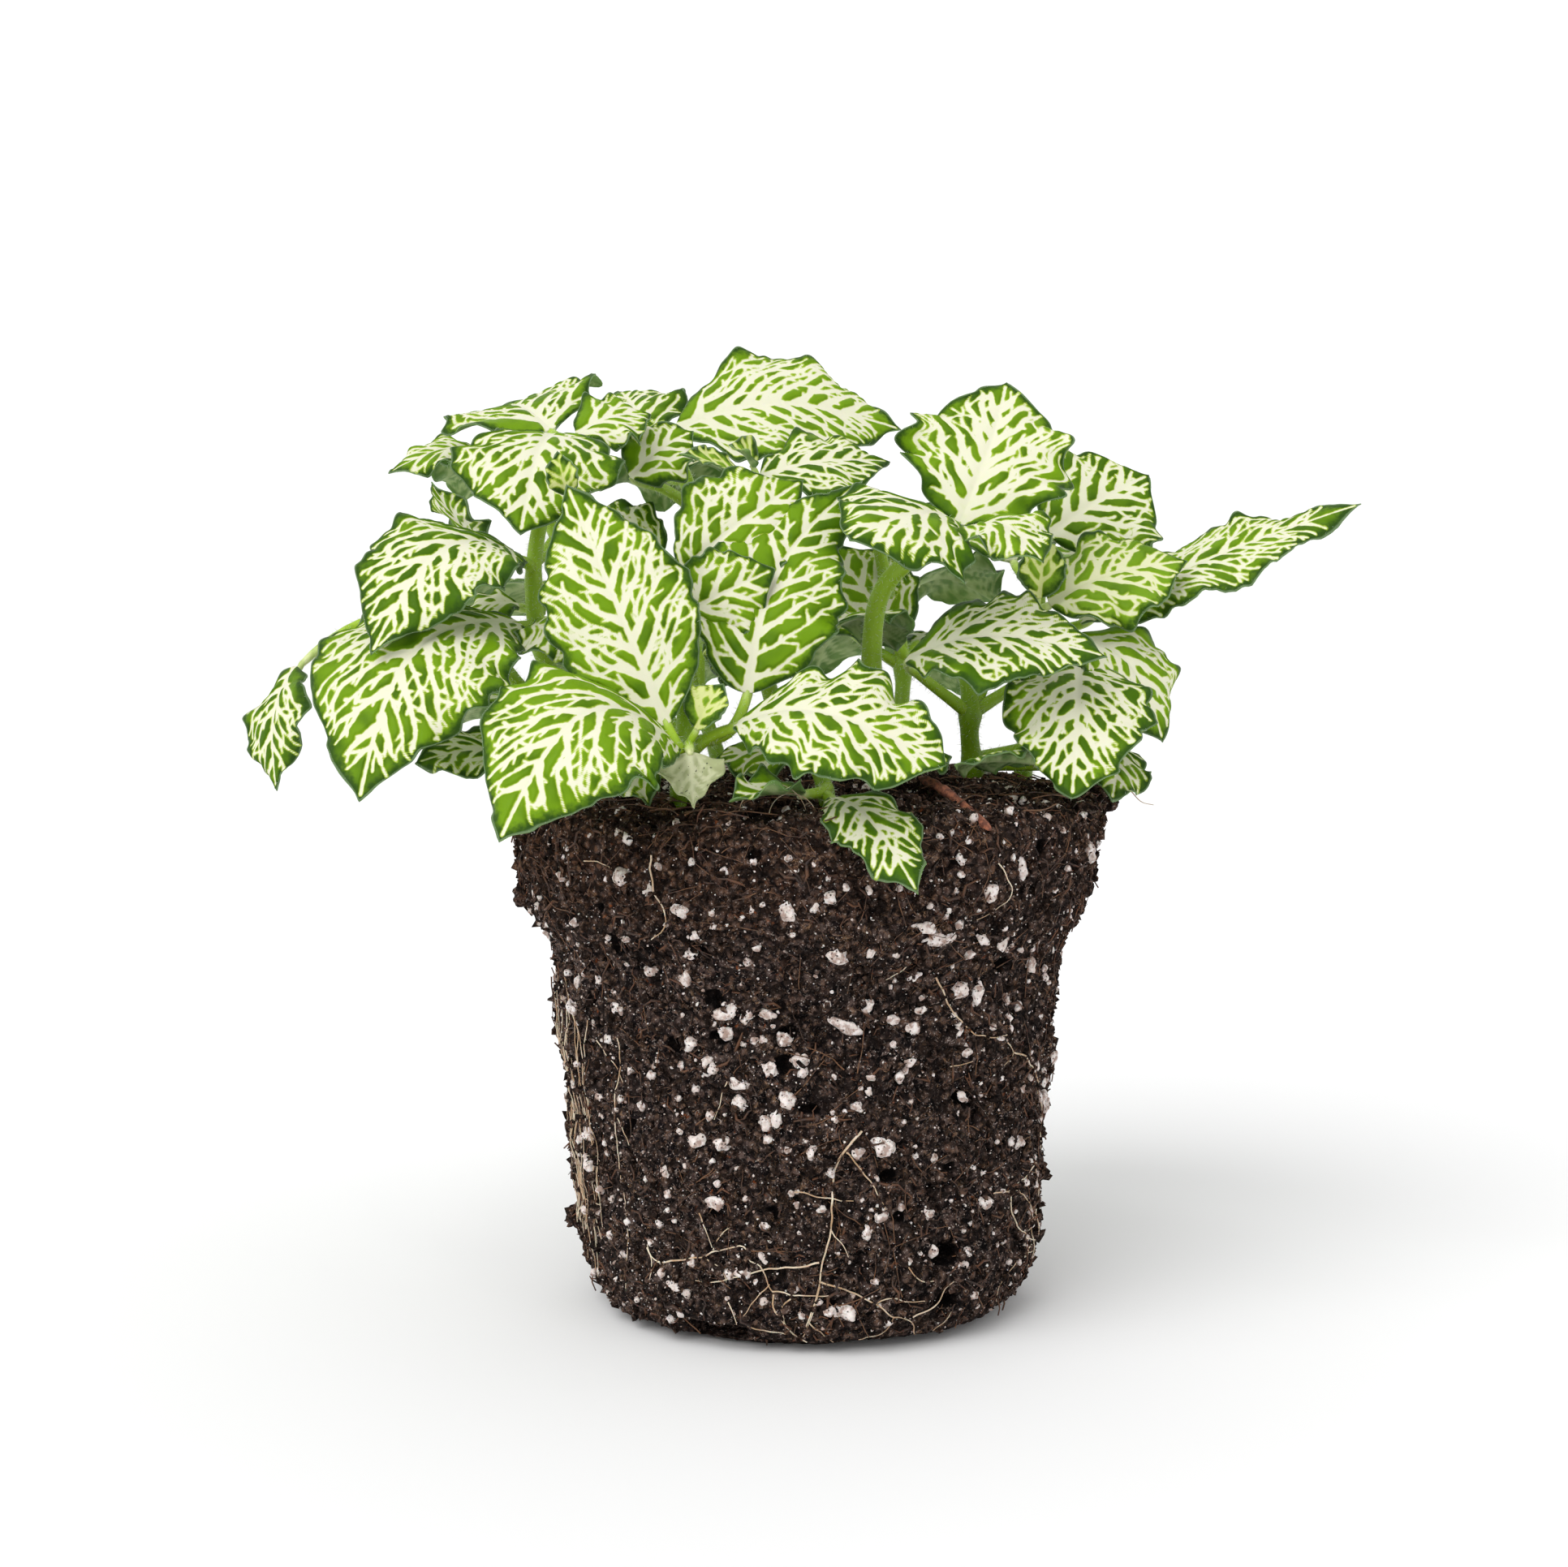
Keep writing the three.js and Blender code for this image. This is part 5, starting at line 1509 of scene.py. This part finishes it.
# those of the front: place across and up, width and height
frontGrains = [
    (-32.6, 87.3, 3.5, 3.3), (-28.2, 85.2, 2.1, 3.1), (-23, 81.9, 2.3, 2.8), (-10.2, 82.6, 2.6, 2.2),
    (-3.8, 82.6, 2.3, 3.4), (-14.8, 89.4, 1.3, 1.3), (-28.5, 69.7, 2.6, 1.8), (-21.4, 69.6, 2.1, 3),
    (-21.3, 73.8, 2.6, 2), (-34.2, 62.1, 2.6, 2.1), (-15.1, 63.3, 4.2, 2.6), (-11.6, 62.3, 1.4, 2.6),
    (-7.6, 63.3, 2.6, 1.6), (-21.3, 57.4, 3.3, 2.9), (-14.9, 59.7, 3, 2.2), (-4.6, 58.6, 2.6, 2.5),
    (-1.5, 55.1, 2.9, 2.1), (-17.6, 53.3, 2.9, 2), (-7.1, 53.5, 2.4, 2.8), (-40.5, 70.4, 2, 2),
    (-41.9, 65.3, 1.2, 2.5), (-38.1, 66.6, 2, 2.2), (-20.2, 77.6, 2.1, 1.6), (26.7, 91.1, 1.8, 2.1),
    (26.6, 88.2, 1.3, 1.3), (37.4, 88.6, 2.3, 4.2), (31.4, 84.8, 2.8, 2.8), (10.2, 86.1, 1.3, 1.3),
    (3.3, 84.9, 2.1, 2.2), (0.8, 83.1, 1.6, 1.6), (23, 77.1, 6.3, 2.8), (20.1, 79, 2.8, 1.9),
    (5.2, 74.7, 4, 3.5), (10.4, 75, 1.4, 1.9), (34.4, 74.6, 2.1, 2.6), (30.9, 75.9, 2.1, 2.8),
    (28.7, 72.9, 2.3, 1.9), (44.2, 66.9, 2, 1.5), (40.6, 69, 2.3, 3), (18.5, 69.7, 2.6, 1.4),
    (26.5, 66.3, 3.5, 3.5), (30, 65.3, 2.3, 3.7), (36, 63.3, 2, 1.9), (38.5, 61.5, 2, 1.6),
    (10.4, 64.9, 2.3, 2.2), (6.3, 61.3, 5.1, 2.1), (18.6, 60.4, 2.3, 2.2), (19.9, 63.4, 2, 1.4),
    (28.5, 54.7, 1.9, 1.9), (18, 54.1, 1.9, 1.5), (16.2, 51.6, 2, 1.9), (42.6, 49.6, 1.9, 3.2),
    (26.8, 59, 2, 2), (14.9, 61.9, 2, 1.6), (-12.5, 50.8, 3.3, 2.5), (-12.5, 46.9, 3, 2.2),
    (-3.9, 48, 2.8, 2.8), (-7.9, 43.5, 2.8, 2.6), (-5.8, 44.3, 2, 2.8), (-7.5, 40.4, 1.6, 1.6),
    (-15.7, 39.3, 3.2, 2.4), (-20.1, 39.6, 2.8, 2.1), (-23.1, 41.2, 2.1, 2.1),
    (-17.9, 44.3, 1.5, 2.2), (-25.7, 32.6, 2.3, 3), (-17, 28.3, 3.8, 2.1), (-8, 24.8, 1.7, 1.8),
    (-12.2, 15.6, 3, 2.3), (-3.5, 30.8, 1.3, 1.3), (-2.3, 28.4, 1.3, 1.3), (0.4, 38.4, 1.6, 2.3),
    (-30.6, 44.5, 1.4, 1.4), (-37.9, 40.7, 1.5, 1.7), (-23.6, 47, 1.6, 1.6), (-29.6, 36.3, 1.2, 1.6),
    (-24, 11.9, 2.4, 1.9), (-8.3, 18.8, 1.7, 2.3), (-3.9, 38.8, 1.4, 1.4), (13.1, 39, 4.9, 3.8),
    (13.3, 26.2, 2.8, 2.4), (21.6, 25.5, 2.1, 2.1), (31.7, 25.8, 3, 2.6), (6.8, 8.7, 3.5, 2.8),
    (3.8, 9, 1.9, 1.6), (27.8, 46.5, 2.2, 1.4), (10.9, 51.7, 1.6, 1.4), (39.4, 45.4, 2, 1.8),
    (8.3, 38.4, 2.6, 2), (29.9, 33, 1.5, 1.5), (37.8, 37.3, 2, 2), (39.4, 34.8, 2.5, 2),
    (22.7, 36, 1.4, 1.9), (10.2, 23.6, 1.5, 2.6), (29, 17.2, 2.8, 1.9), (22.4, 18.5, 1.9, 2.4),
    (27.6, 15.2, 1.3, 1.3), (11.7, 14.1, 1.5, 1.4), (8.2, 46.6, 2.3, 2), (42.9, 35.7, 1.7, 1.9),
    (3.7, 34.7, 1.8, 1.8),
]


def bigGrains(material):
    # each grain sits on the wall, turned a little, with most of it showing
    rng = np.random.default_rng(77)
    bag = MeshBag()
    places = [(frontAngle(x, z), z, wide, high) for x, z, wide, high in frontGrains]
    for _ in range(largeGrains["around"]):
        angle = rng.uniform(-0.15 * math.pi, 1.15 * math.pi)
        size = largeGrains["smallest"] + largeGrains["range"] * rng.uniform() ** 2
        places.append((angle, rng.uniform(4, 92), size, size * rng.uniform(0.6, 1.0)))
    for k, (angle, z, wide, high) in enumerate(places):
        fine = k < len(frontGrains) or wide > 2.6
        points, faces = lumpArrays("grain", 300 + k, 3 if fine else 2, rough=largeGrains["rough"])
        cos, sin = math.cos(angle), math.sin(angle)
        flat = wallPoints(np.array([angle]), np.array([z]))[0]
        smooth = wallRadius(z) - 0.5        # never deeper than a little under the smooth wall
        flat[:2] = np.array([cos, sin]) * max(np.hypot(*flat[:2]), smooth)
        depth = 0.75 * min(wide, high)
        points = points * np.array([wide, depth / 0.75, high / 0.75]) * 1.06
        tilt = rng.uniform(-0.5, 0.5)
        x = points[:, 0] * math.cos(tilt) - points[:, 2] * math.sin(tilt)
        up = points[:, 0] * math.sin(tilt) + points[:, 2] * math.cos(tilt)
        out = points[:, 1] - 0.1 * depth
        away, along = flat[0] - x * sin + out * cos, flat[1] + x * cos + out * sin
        placed = np.stack([away, along, flat[2] + up], axis=-1)
        placed[:, 2] = np.maximum(placed[:, 2], 0.1)
        bag.add(placed, [], faces)
    return bag.build("perlite_large", material)


# four clumps of peat that stand out of the wall: where they are, and how large
clumps = {
    "places": [(57, 9, 96.5, 3.4), (60.5, 8, 99, 2.6), (-53.6, -6, 79, 2.2), (-45, 6, 14, 2.2)],
    "crumbs": 22,
    "flatness": 0.85,
    "rough": 0.5,
}


def buildClumps(material):
    # each is a heap of crumbs round one large crumb
    rng = np.random.default_rng(41)
    bag = MeshBag()
    for x, y, z, size in clumps["places"]:
        heap = [((0, 0, 0), 2.0 * size)]
        for _ in range(clumps["crumbs"]):
            heap.append((tuple(unit(rng.normal(size=3)) * 0.8 * size), rng.uniform(0.4, 1.1) * size))
        for offset, across in heap:
            seed, detail = int(rng.integers(900)), 2 if across > size else 1
            points, faces = lumpArrays("clump", seed, detail, clumps["flatness"], clumps["rough"])
            points = points * across + np.array(offset) + (x, y, z)
            bag.add(points, [], faces, depth=rng.uniform(0, 0.5), collar=0.5, hold=1.0)
    return bag.build("peat_clumps", material)


def strandMesh(name, lines):
    # loose edges with a thickness at each point, for the strands tree
    points, edges, thick = [], [], []
    for line, radii in lines:
        start = len(points)
        points += [tuple(p) for p in np.asarray(line) * mm]
        thick += list(np.broadcast_to(radii, (len(line),)) * mm)
        edges += [(start + k, start + k + 1) for k in range(len(line) - 1)]
    mesh = bpy.data.meshes.new(name)
    mesh.from_pydata(points, edges, [])
    attribute = mesh.attributes.new("thick", "FLOAT", "POINT")
    attribute.data.foreach_set("value", np.array(thick, np.float32))
    carrier = bpy.data.objects.new(name, mesh)
    bpy.context.scene.collection.objects.link(carrier)
    return carrier


midRadius = 46          # of the wall, which turns an angle on it into a length along it


def wallStrand(angles, heights, radius, rng, lift=0.25, count=None):
    # a root that follows the rough wall through the given places, bridging its pores
    places = np.stack([angles * midRadius, heights, 0 * heights], axis=-1)
    path = smoothPath(places, count or max(6, int(np.abs(np.diff(places, axis=0)).sum() / 0.9)))
    path[:, 0] += 0.35 * softNoise(path + rng.uniform(0, 99), 2.2, 3)
    path[:, 1] += 0.35 * softNoise(path + rng.uniform(0, 99), 2.2, 4)
    angle, height = path[:, 0] / midRadius, np.maximum(path[:, 1], 0.3)
    line = wallPoints(angle, height, lift)
    floor = wallRadius(height) + peatRelief(angle, height) - 0.2
    away = np.maximum(np.hypot(line[:, 0], line[:, 1]), floor)
    away = np.convolve(np.pad(away, 2, mode="edge"), np.ones(5) / 5, mode="valid")
    line[:, 0] = away * [math.cos(a) for a in angle]
    line[:, 1] = away * [math.sin(a) for a in angle]
    taper = np.linspace(1, 0.55, len(line))
    return line, np.maximum(radius * taper, 0.06)


# how many of each kind, and the radii between which they vary
rootsAround = {
    "wandering": 46, "wanderingRadius": (0.1, 0.2),
    "bundle": 24, "bundleRadius": (0.07, 0.15),
    "fibres": 620, "fibreRadius": (0.07, 0.13),
    "topFibres": 150, "topFibreRadius": (0.08, 0.16),
    "slim": 0.85,           # thickness of the front roots next to their list
    "loops": [(-6.5, -44, 6.0, 6.2), (-3.0, -45, 4.2, 4.4)],     # place, half width and height
    "loopRadius": 0.08,
}

# roots of the front: half thickness, and places across and up
frontRoots = [
    (0.27, [(9, 42.1), (5.1, 36.9), (4.3, 30.9), (3.7, 24.5), (2.6, 19.4), (1.9, 14.4), (0.4, 8.3),
            (-1, 4.2)]),
    (0.2, [(6.4, 38.3), (9.5, 34.8), (11.9, 31), (13.4, 27.4)]),
    (0.16, [(3.7, 24.1), (6.2, 21.4), (7.2, 19.2)]),
    (0.22, [(1.9, 14.7), (5.8, 13.1), (9.1, 11.5), (12.1, 9.8), (15.5, 7), (18.5, 5.4), (19, 2.4)]),
    (0.18, [(18.5, 6.4), (23, 8.1), (25.1, 11), (27.1, 13)]),
    (0.16, [(12.1, 10), (13.5, 10.7), (17, 9.8), (21, 9.3)]),
    (0.17, [(16.4, 17.5), (20.5, 13.3), (23.5, 13.1)]),
    (0.22, [(1.9, 17.9), (-4.4, 17.1), (-9.3, 15.9), (-13.1, 14.6), (-17, 13.1), (-20.4, 13.3)]),
    (0.23, [(-27, 15.6), (-22.9, 16.7), (-18.9, 18.1), (-15.1, 20), (-11.6, 20.6), (-10.7, 18.6),
            (-8.7, 16.8), (-7.3, 13.2), (-6.5, 12.3)]),
    (0.15, [(-26.7, 15.7), (-28.6, 16.8), (-29.5, 18.5)]),
    (0.16, [(-29.5, 17.8), (-28.3, 15.6), (-28.3, 11.9)]),
    (0.16, [(-19.6, 26.5), (-18.4, 23.5), (-17.3, 19.8)]),
    (0.16, [(-17, 19.5), (-15.2, 22.8), (-13, 24.7)]),
    (0.15, [(-18.2, 17.9), (-15.8, 16.2), (-15.1, 14.1)]),
    (0.18, [(-6.5, 12.3), (-2.5, 12), (1.9, 12.1), (4.5, 12.4)]),
    (0.15, [(-7.3, 13.8), (-9.7, 10.6), (-11.6, 7.3)]),
    (0.22, [(-6.5, 11.7), (-6.5, 9.2), (-4.9, 7.1), (-2.9, 3.8), (-0.6, 2.3)]),
    (0.2, [(-3.2, 11.3), (-4.9, 9.2), (-4.4, 6.5), (-2.5, 3.2)]),
    (0.18, [(1.9, 13.4), (0.9, 9.3), (0, 6.1), (-1, 3.4)]),
    (0.15, [(-14.6, 9.8), (-13.7, 7.9), (-12.7, 5.9)]),
    (0.18, [(-11.2, 5.5), (-7.9, 4.5), (-4.4, 3.7), (-1.4, 2.9)]),
    (0.17, [(-2.9, 30.9), (-0.6, 30.7), (1.8, 29.9), (4.7, 29.6), (7.9, 29.3)]),
    (0.17, [(0, 6.7), (2.4, 4.2), (4.4, 2.4)]),
    (0.2, [(55.6, 8.3), (42.4, 29.4), (39.4, 28.2), (37, 27.6), (36, 26.9)]),
    (0.16, [(33.2, 27.3), (36, 26.9), (37.7, 26.3), (40.7, 22.9), (53, -3.4)]),
    (0.18, [(37, 26), (38, 20.9), (40.3, 16.4), (42.7, 11.9), (39.1, 12.2)]),
    (0.16, [(41.8, 13.1), (38.1, 11.1), (35.8, 7.7), (35, 4.6)]),
    (0.17, [(15.4, 6.9), (13.7, 3.9), (11.8, 2.6), (9, 2.5)]),
    (0.14, [(26.4, 6.5), (24.3, 3.7), (22.3, 2.6)]),
    (0.22, [(22.3, 69.4), (24.4, 65.2), (26.9, 60.9), (29.1, 58.2), (32.2, 57), (35.3, 57.1)]),
    (0.16, [(35.4, 55.6), (37.1, 53.1), (35.5, 51)]),
    (0.22, [(37.1, 53.1), (39.8, 51.5), (56.7, 32.2)]),
    (0.16, [(17.7, 72.3), (15, 70.1), (12.1, 69)]),
    (0.15, [(32.3, 89.8), (34.7, 86.1), (35.1, 83), (32.9, 80.9), (29.9, 79.7)]),
    (0.22, [(-27.6, 91.8), (-27.6, 87.7), (-25.6, 82), (-25.2, 79.1), (-27.9, 76.3)]),
    (0.15, [(-39.5, 89.5), (-36.4, 89.4), (-33.4, 88.4)]),
    (0.15, [(-38.8, 54.9), (-35.9, 51.3), (-33.8, 48.3)]),
    (0.14, [(-14.2, 51.6), (-15.7, 48.2), (-16.9, 43.9)]),
    (0.14, [(-34.2, 41.3), (-33.1, 38.6), (-31.9, 36.9)]),
    (0.17, [(-42.8, 44.3), (-40.4, 33.4), (-39.3, 27.5), (-40, 22), (-38.7, 16.2)]),
    (0.12, [(-42.5, 30.6), (-40.1, 31.7), (-39.3, 31)]),
    (0.14, [(24.6, 52.3), (27, 52.5), (29.6, 52.9)]),
]


def wanderingRoot(rng):
    # one on the sides or the back, more often near the foot
    steps = rng.integers(4, 8)
    angle = rng.uniform(-0.1, math.pi + 0.1)
    height = 4 + 60 * rng.uniform() ** 1.7
    heading = rng.uniform(0, 2 * math.pi)
    spots = []
    for _ in range(steps):
        spots.append((angle, np.clip(height, 1.5, 92)))
        heading += rng.normal(0, 0.5)
        angle += 0.09 * math.cos(heading)
        height += 4.2 * math.sin(heading)
    a, z = np.array(spots).T
    return wallStrand(a, z, rng.uniform(*rootsAround["wanderingRadius"]), rng)


def bundleRoot(rng):
    # one of the fine roots that run down the left side in a bundle
    start = math.pi + 0.24 + rng.normal(0, 0.17)
    z = np.linspace(rng.uniform(40, 66), rng.uniform(8, 22), 7)
    a = start + np.cumsum(rng.normal(0, 0.034, 7))
    radius = rng.uniform(*rootsAround["bundleRadius"])
    return wallStrand(a, z, radius, rng, lift=rng.uniform(0.0, 0.5))


def wallFibre(rng):
    # a short bent fibre anywhere on the wall
    angle, height = rng.uniform(0, 2 * math.pi), 97 - 92 * rng.uniform() ** 1.5
    long, heading = rng.uniform(3, 11), rng.uniform(0, math.pi)
    t = np.linspace(-0.5, 0.5, 4)
    bow = rng.normal(0, 0.12)
    a = angle + long * (t * math.cos(heading) + bow * t * t * math.sin(heading)) / 48
    z = np.clip(height + long * (t * math.sin(heading) - bow * t * t * math.cos(heading)), 0.8, 97)
    radius = rng.uniform(*rootsAround["fibreRadius"])
    return wallStrand(a, z, radius, rng, lift=rng.uniform(0.1, 0.9), count=7)


def topFibre(rng):
    # a fibre that lies across the soil and stands up a little
    angle, away = rng.uniform(0, 2 * math.pi), 54 * rng.uniform() ** 0.4
    heading, long = rng.uniform(0, 2 * math.pi), rng.uniform(4, 14)
    t = np.linspace(-0.5, 0.5, 8)
    x = away * math.cos(angle) + long * t * math.cos(heading) + rng.normal(0, 0.8) * np.cos(5 * t)
    y = away * math.sin(angle) + long * t * math.sin(heading) + rng.normal(0, 0.8) * np.sin(5 * t)
    inside = np.minimum(1, 55 / np.hypot(x, y))         # keeps it on the soil
    z = soilTopZ(x * inside, y * inside) + 1.0 + 0.9 * np.cos(3 * t) * rng.uniform(0, 1)
    radius = rng.uniform(*rootsAround["topFibreRadius"])
    return np.stack([x * inside, y * inside, z], axis=-1), radius


def buildRoots():
    rng = np.random.default_rng(5)
    pale = []
    for radius, places in frontRoots:
        x, z = np.array(places, float).T
        angles = np.array([frontAngle(a, b) for a, b in zip(x, z)])
        pale.append(wallStrand(angles, z, rootsAround["slim"] * radius, rng))
    pale += [wanderingRoot(rng) for _ in range(rootsAround["wandering"])]
    pale += [bundleRoot(rng) for _ in range(rootsAround["bundle"])]
    brown = [wallFibre(rng) for _ in range(rootsAround["fibres"])]
    brown += [topFibre(rng) for _ in range(rootsAround["topFibres"])]
    # a thin root from the clump on the right of the rim, and hair-thin loops above the soil
    t = np.linspace(0, 1, 12)[:, None]
    stray = np.array([60.5, 6, 98.5]) + t * [6.2, -2, -3.6] + np.sin(7 * t) * [0.2, 0.3, 0.35]
    pale.append((stray, np.linspace(0.14, 0.07, 12)))
    turn = np.linspace(0.2, 2.9, 16)
    for x, y, wide, high in rootsAround["loops"]:
        across, deep = x - wide * np.cos(turn), y + 1.6 * np.sin(2 * turn)
        loop = np.stack([across, deep, 97.6 + high * np.sin(turn)], axis=-1)
        pale.append((loop, rootsAround["loopRadius"]))
    made = []
    for name, lines, sides, skin in (
        ("roots", pale, 6, rootMaterial("pale root", (228, 212, 188), (178, 146, 112))),
        ("fibres", brown, 4, rootMaterial("brown fibre", (112, 78, 50), (58, 40, 30))),
    ):
        carrier = strandMesh(name + "_lines", lines)
        made.append(runTree(strands, carrier, name, Sides=sides, Material=skin))
        bpy.data.objects.remove(carrier)
        print(name, len(lines), "strands")
    return made


# what is scattered over the peat: number per square metre, and sizes in metres
crumbs = {
    "Density": 0.225e6, "Spacing": 0.7 * mm, "Seed": 5, "Smallest": 0.7 * mm, "Largest": 2.8 * mm,
    "Rarity": 2.4, "Sink": 0.0, "Tilt": 1.4,
}
smallPerlite = {
    "Density": 0.044e6, "Spacing": 1.1 * mm, "Seed": 8, "Smallest": 0.6 * mm, "Largest": 2.5 * mm,
    "Rarity": 2.4, "Sink": 0.1, "Tilt": 1.4,
}
perliteDust = {
    "Density": 0.15e6, "Spacing": 0.4 * mm, "Seed": 9, "Smallest": 0.2 * mm, "Largest": 0.6 * mm,
    "Rarity": 1.6, "Sink": -0.2, "Tilt": 1.4,
}
chips = {
    "Density": 0.075e6, "Spacing": 0.7 * mm, "Seed": 12, "Smallest": 1.5 * mm, "Largest": 6.0 * mm,
    "Rarity": 2.0, "Sink": -0.04, "Tilt": 0.35,
}


def buildBall():
    peat, grain = peatMaterial(), perliteMaterial()
    ball = ballMesh(peat)
    print("peat ball", len(ball.data.polygons), "faces")
    lumps = shapeCollection("crumb shapes", [lumpShape("crumb", k, 0, 0.7, 0.9) for k in range(8)])
    grains = shapeCollection("grain shapes", [lumpShape("grain", 20 + k, 1, 0.75, 0.42) for k in range(8)])
    dust = shapeCollection("dust shapes", [dustShape("dust", k) for k in range(4)])
    splinters = shapeCollection("chip shapes", [chipShape("chip", k) for k in range(5)])
    chipSkin = rootMaterial("bark chip", (96, 62, 38), (48, 34, 28))
    crumbSkin = peatMaterial("crumb", 0.15)
    for name, shapes, skin, smooth, sizes in (
        ("peat_crumbs", lumps, crumbSkin, False, crumbs),
        ("perlite_small", grains, grain, True, smallPerlite),
        ("perlite_dust", dust, grain, True, perliteDust),
        ("bark_chips", splinters, chipSkin, True, chips),
    ):
        made = runTree(scatter, ball, name, smooth, Shapes=shapes, Material=skin, **sizes)
        settle(made, "peat")
        print(name, len(made.data.polygons), "faces")
    for holder in (lumps, grains, dust, splinters):
        dropCollection(holder)
    settle(ball, "peat", "root_ball")
    settle(bigGrains(grain), "peat")
    settle(buildClumps(peat), "peat")
    print("large grains and clumps placed")
    for piece in buildRoots():
        settle(piece, "peat")


twig = {
    "places": [(21, -17), (24, -27), (28, -39), (31, -50)],
    "above": (0.2, -0.3, -1.2, -2.6),       # at each place, on top of 1.7 over the soil
    "along": [0, 0.06, 0.5, 0.93, 1],
    "radii": [0.7, 1.15, 1.0, 0.95, 0.5],
    "flatness": 0.72,
    "points": 60,
    "sides": 18,
}


def buildTwig():
    # a bit of reddish bark on the soil, with ridges along it
    count, sides = twig["points"], twig["sides"]
    line = [(x, y, float(soilTopZ(x, y)) + 1.7 + d) for (x, y), d in zip(twig["places"], twig["above"])]
    path = smoothPath(line, count)
    radii = np.interp(np.linspace(0, 1, count), twig["along"], twig["radii"])
    radii *= 1 + 0.12 * softNoise(path, 3.0, 6)
    points, quads, triangles = tubeShape(path, radii, sides)
    centre = np.vstack([np.repeat(path, sides, axis=0), path[[0, -1]]])
    ridge = 1 + 0.16 * softNoise(points * [1, 0.35, 1], 0.7, 7) + 0.1 * softNoise(points, 0.4, 8)
    points = centre + (points - centre) * ridge[:, None] * [1, 1, twig["flatness"]]
    paint = Painter("bark")
    streak = paint.noise(0.8, detail=5.0, stretch=(1, 0.3, 1))
    skin = paint.mix(paint.ramp(streak, 0.35, 0.65), colour(172, 104, 76), colour(104, 58, 44))
    skin = paint.mix(paint.ramp(paint.noise(0.5), 0.62, 0.7), skin, colour(58, 36, 30))
    paint.set(Base_Color=skin, Roughness=0.8)
    paint.bump(streak, 0.3, 0.9)
    bag = MeshBag()
    bag.add(points, quads, triangles)
    settle(bag.build("bark_twig", paint.material), "bark", "twig")
    print("bark twig", len(quads) + len(triangles), "faces")


studio = {
    "camera": (-4.5, -520, 147), "down": 5.2, "lens": 62.68,
    "floor": 120,          # metres across, so that its edge is never seen
    "white": 1.07,         # brightness of the white surroundings at the horizon
    "dome": 0.66,          # and overhead
    "fade": (0.2, 0.42),   # between these heights, where straight up is 1
    "key": 1.75, "softness": 50, "from": (-0.45, -0.6, 0.75),
    "lamps": [             # name, place in metres, size and power
        ("fill", (0.8, -0.7, 0.5), 0.8, 0.6),
        ("rim", (0.1, 0.8, 0.9), 0.7, 0.8),
    ],
    "aim": (0, 0, 0.09),   # where the lamps point, in metres
}


def buildStudio():
    scene = bpy.context.scene
    scene.view_settings.view_transform = "Standard"
    bpy.ops.mesh.primitive_plane_add(size=studio["floor"])
    floor = bpy.context.object
    floor.name = "floor"
    paint = Painter("pale floor")
    shade = paint.noise(400)
    dim, bright = (0.945, 0.945, 0.945, 1), (0.955, 0.955, 0.955, 1)
    paint.set(Base_Color=paint.mix(shade, dim, bright), Roughness=0.9)
    floor.data.materials.append(paint.material)

    # white low round the horizon, softer overhead
    world = bpy.data.worlds.new("studio")
    world.use_nodes = True
    tree = world.node_tree
    direction = tree.nodes.new("ShaderNodeTexCoord")
    parts = tree.nodes.new("ShaderNodeSeparateXYZ")
    fall = tree.nodes.new("ShaderNodeMapRange")
    tree.links.new(direction.outputs["Generated"], parts.inputs["Vector"])
    tree.links.new(parts.outputs["Z"], fall.inputs["Value"])
    fall.inputs["From Min"].default_value, fall.inputs["From Max"].default_value = studio["fade"]
    fall.inputs["To Min"].default_value = studio["white"]
    fall.inputs["To Max"].default_value = studio["dome"]
    tree.links.new(fall.outputs["Result"], tree.nodes["Background"].inputs["Strength"])
    tree.nodes["Background"].inputs["Color"].default_value = (1, 1, 1, 1)
    scene.world = world
    sun = bpy.data.lights.new("key", "SUN")
    sun.energy = studio["key"]
    sun.angle = math.radians(studio["softness"])
    high = bpy.data.objects.new("key", sun)
    high.rotation_euler = Vector(studio["from"]).to_track_quat("Z", "Y").to_euler()
    scene.collection.objects.link(high)
    for name, place, size, power in studio["lamps"]:
        light = bpy.data.lights.new(name, "AREA")
        light.size = size
        light.energy = power
        lamp = bpy.data.objects.new(name, light)
        lamp.location = place
        towards = Vector(studio["aim"]) - Vector(place)
        lamp.rotation_euler = towards.to_track_quat("-Z", "Y").to_euler()
        scene.collection.objects.link(lamp)

    # the camera stands where the photo's did
    lens = bpy.data.cameras.new("camera")
    lens.lens = studio["lens"]
    lens.sensor_width = 36
    lens.clip_start, lens.clip_end = 0.01, 50
    camera = bpy.data.objects.new("camera", lens)
    camera.location = Vector(studio["camera"]) * mm
    camera.rotation_euler = (math.radians(90 - studio["down"]), 0, 0)
    scene.collection.objects.link(camera)
    scene.camera = camera
    print("studio ready")


buildStudio()
buildBall()
buildTwig()
buildShoots()
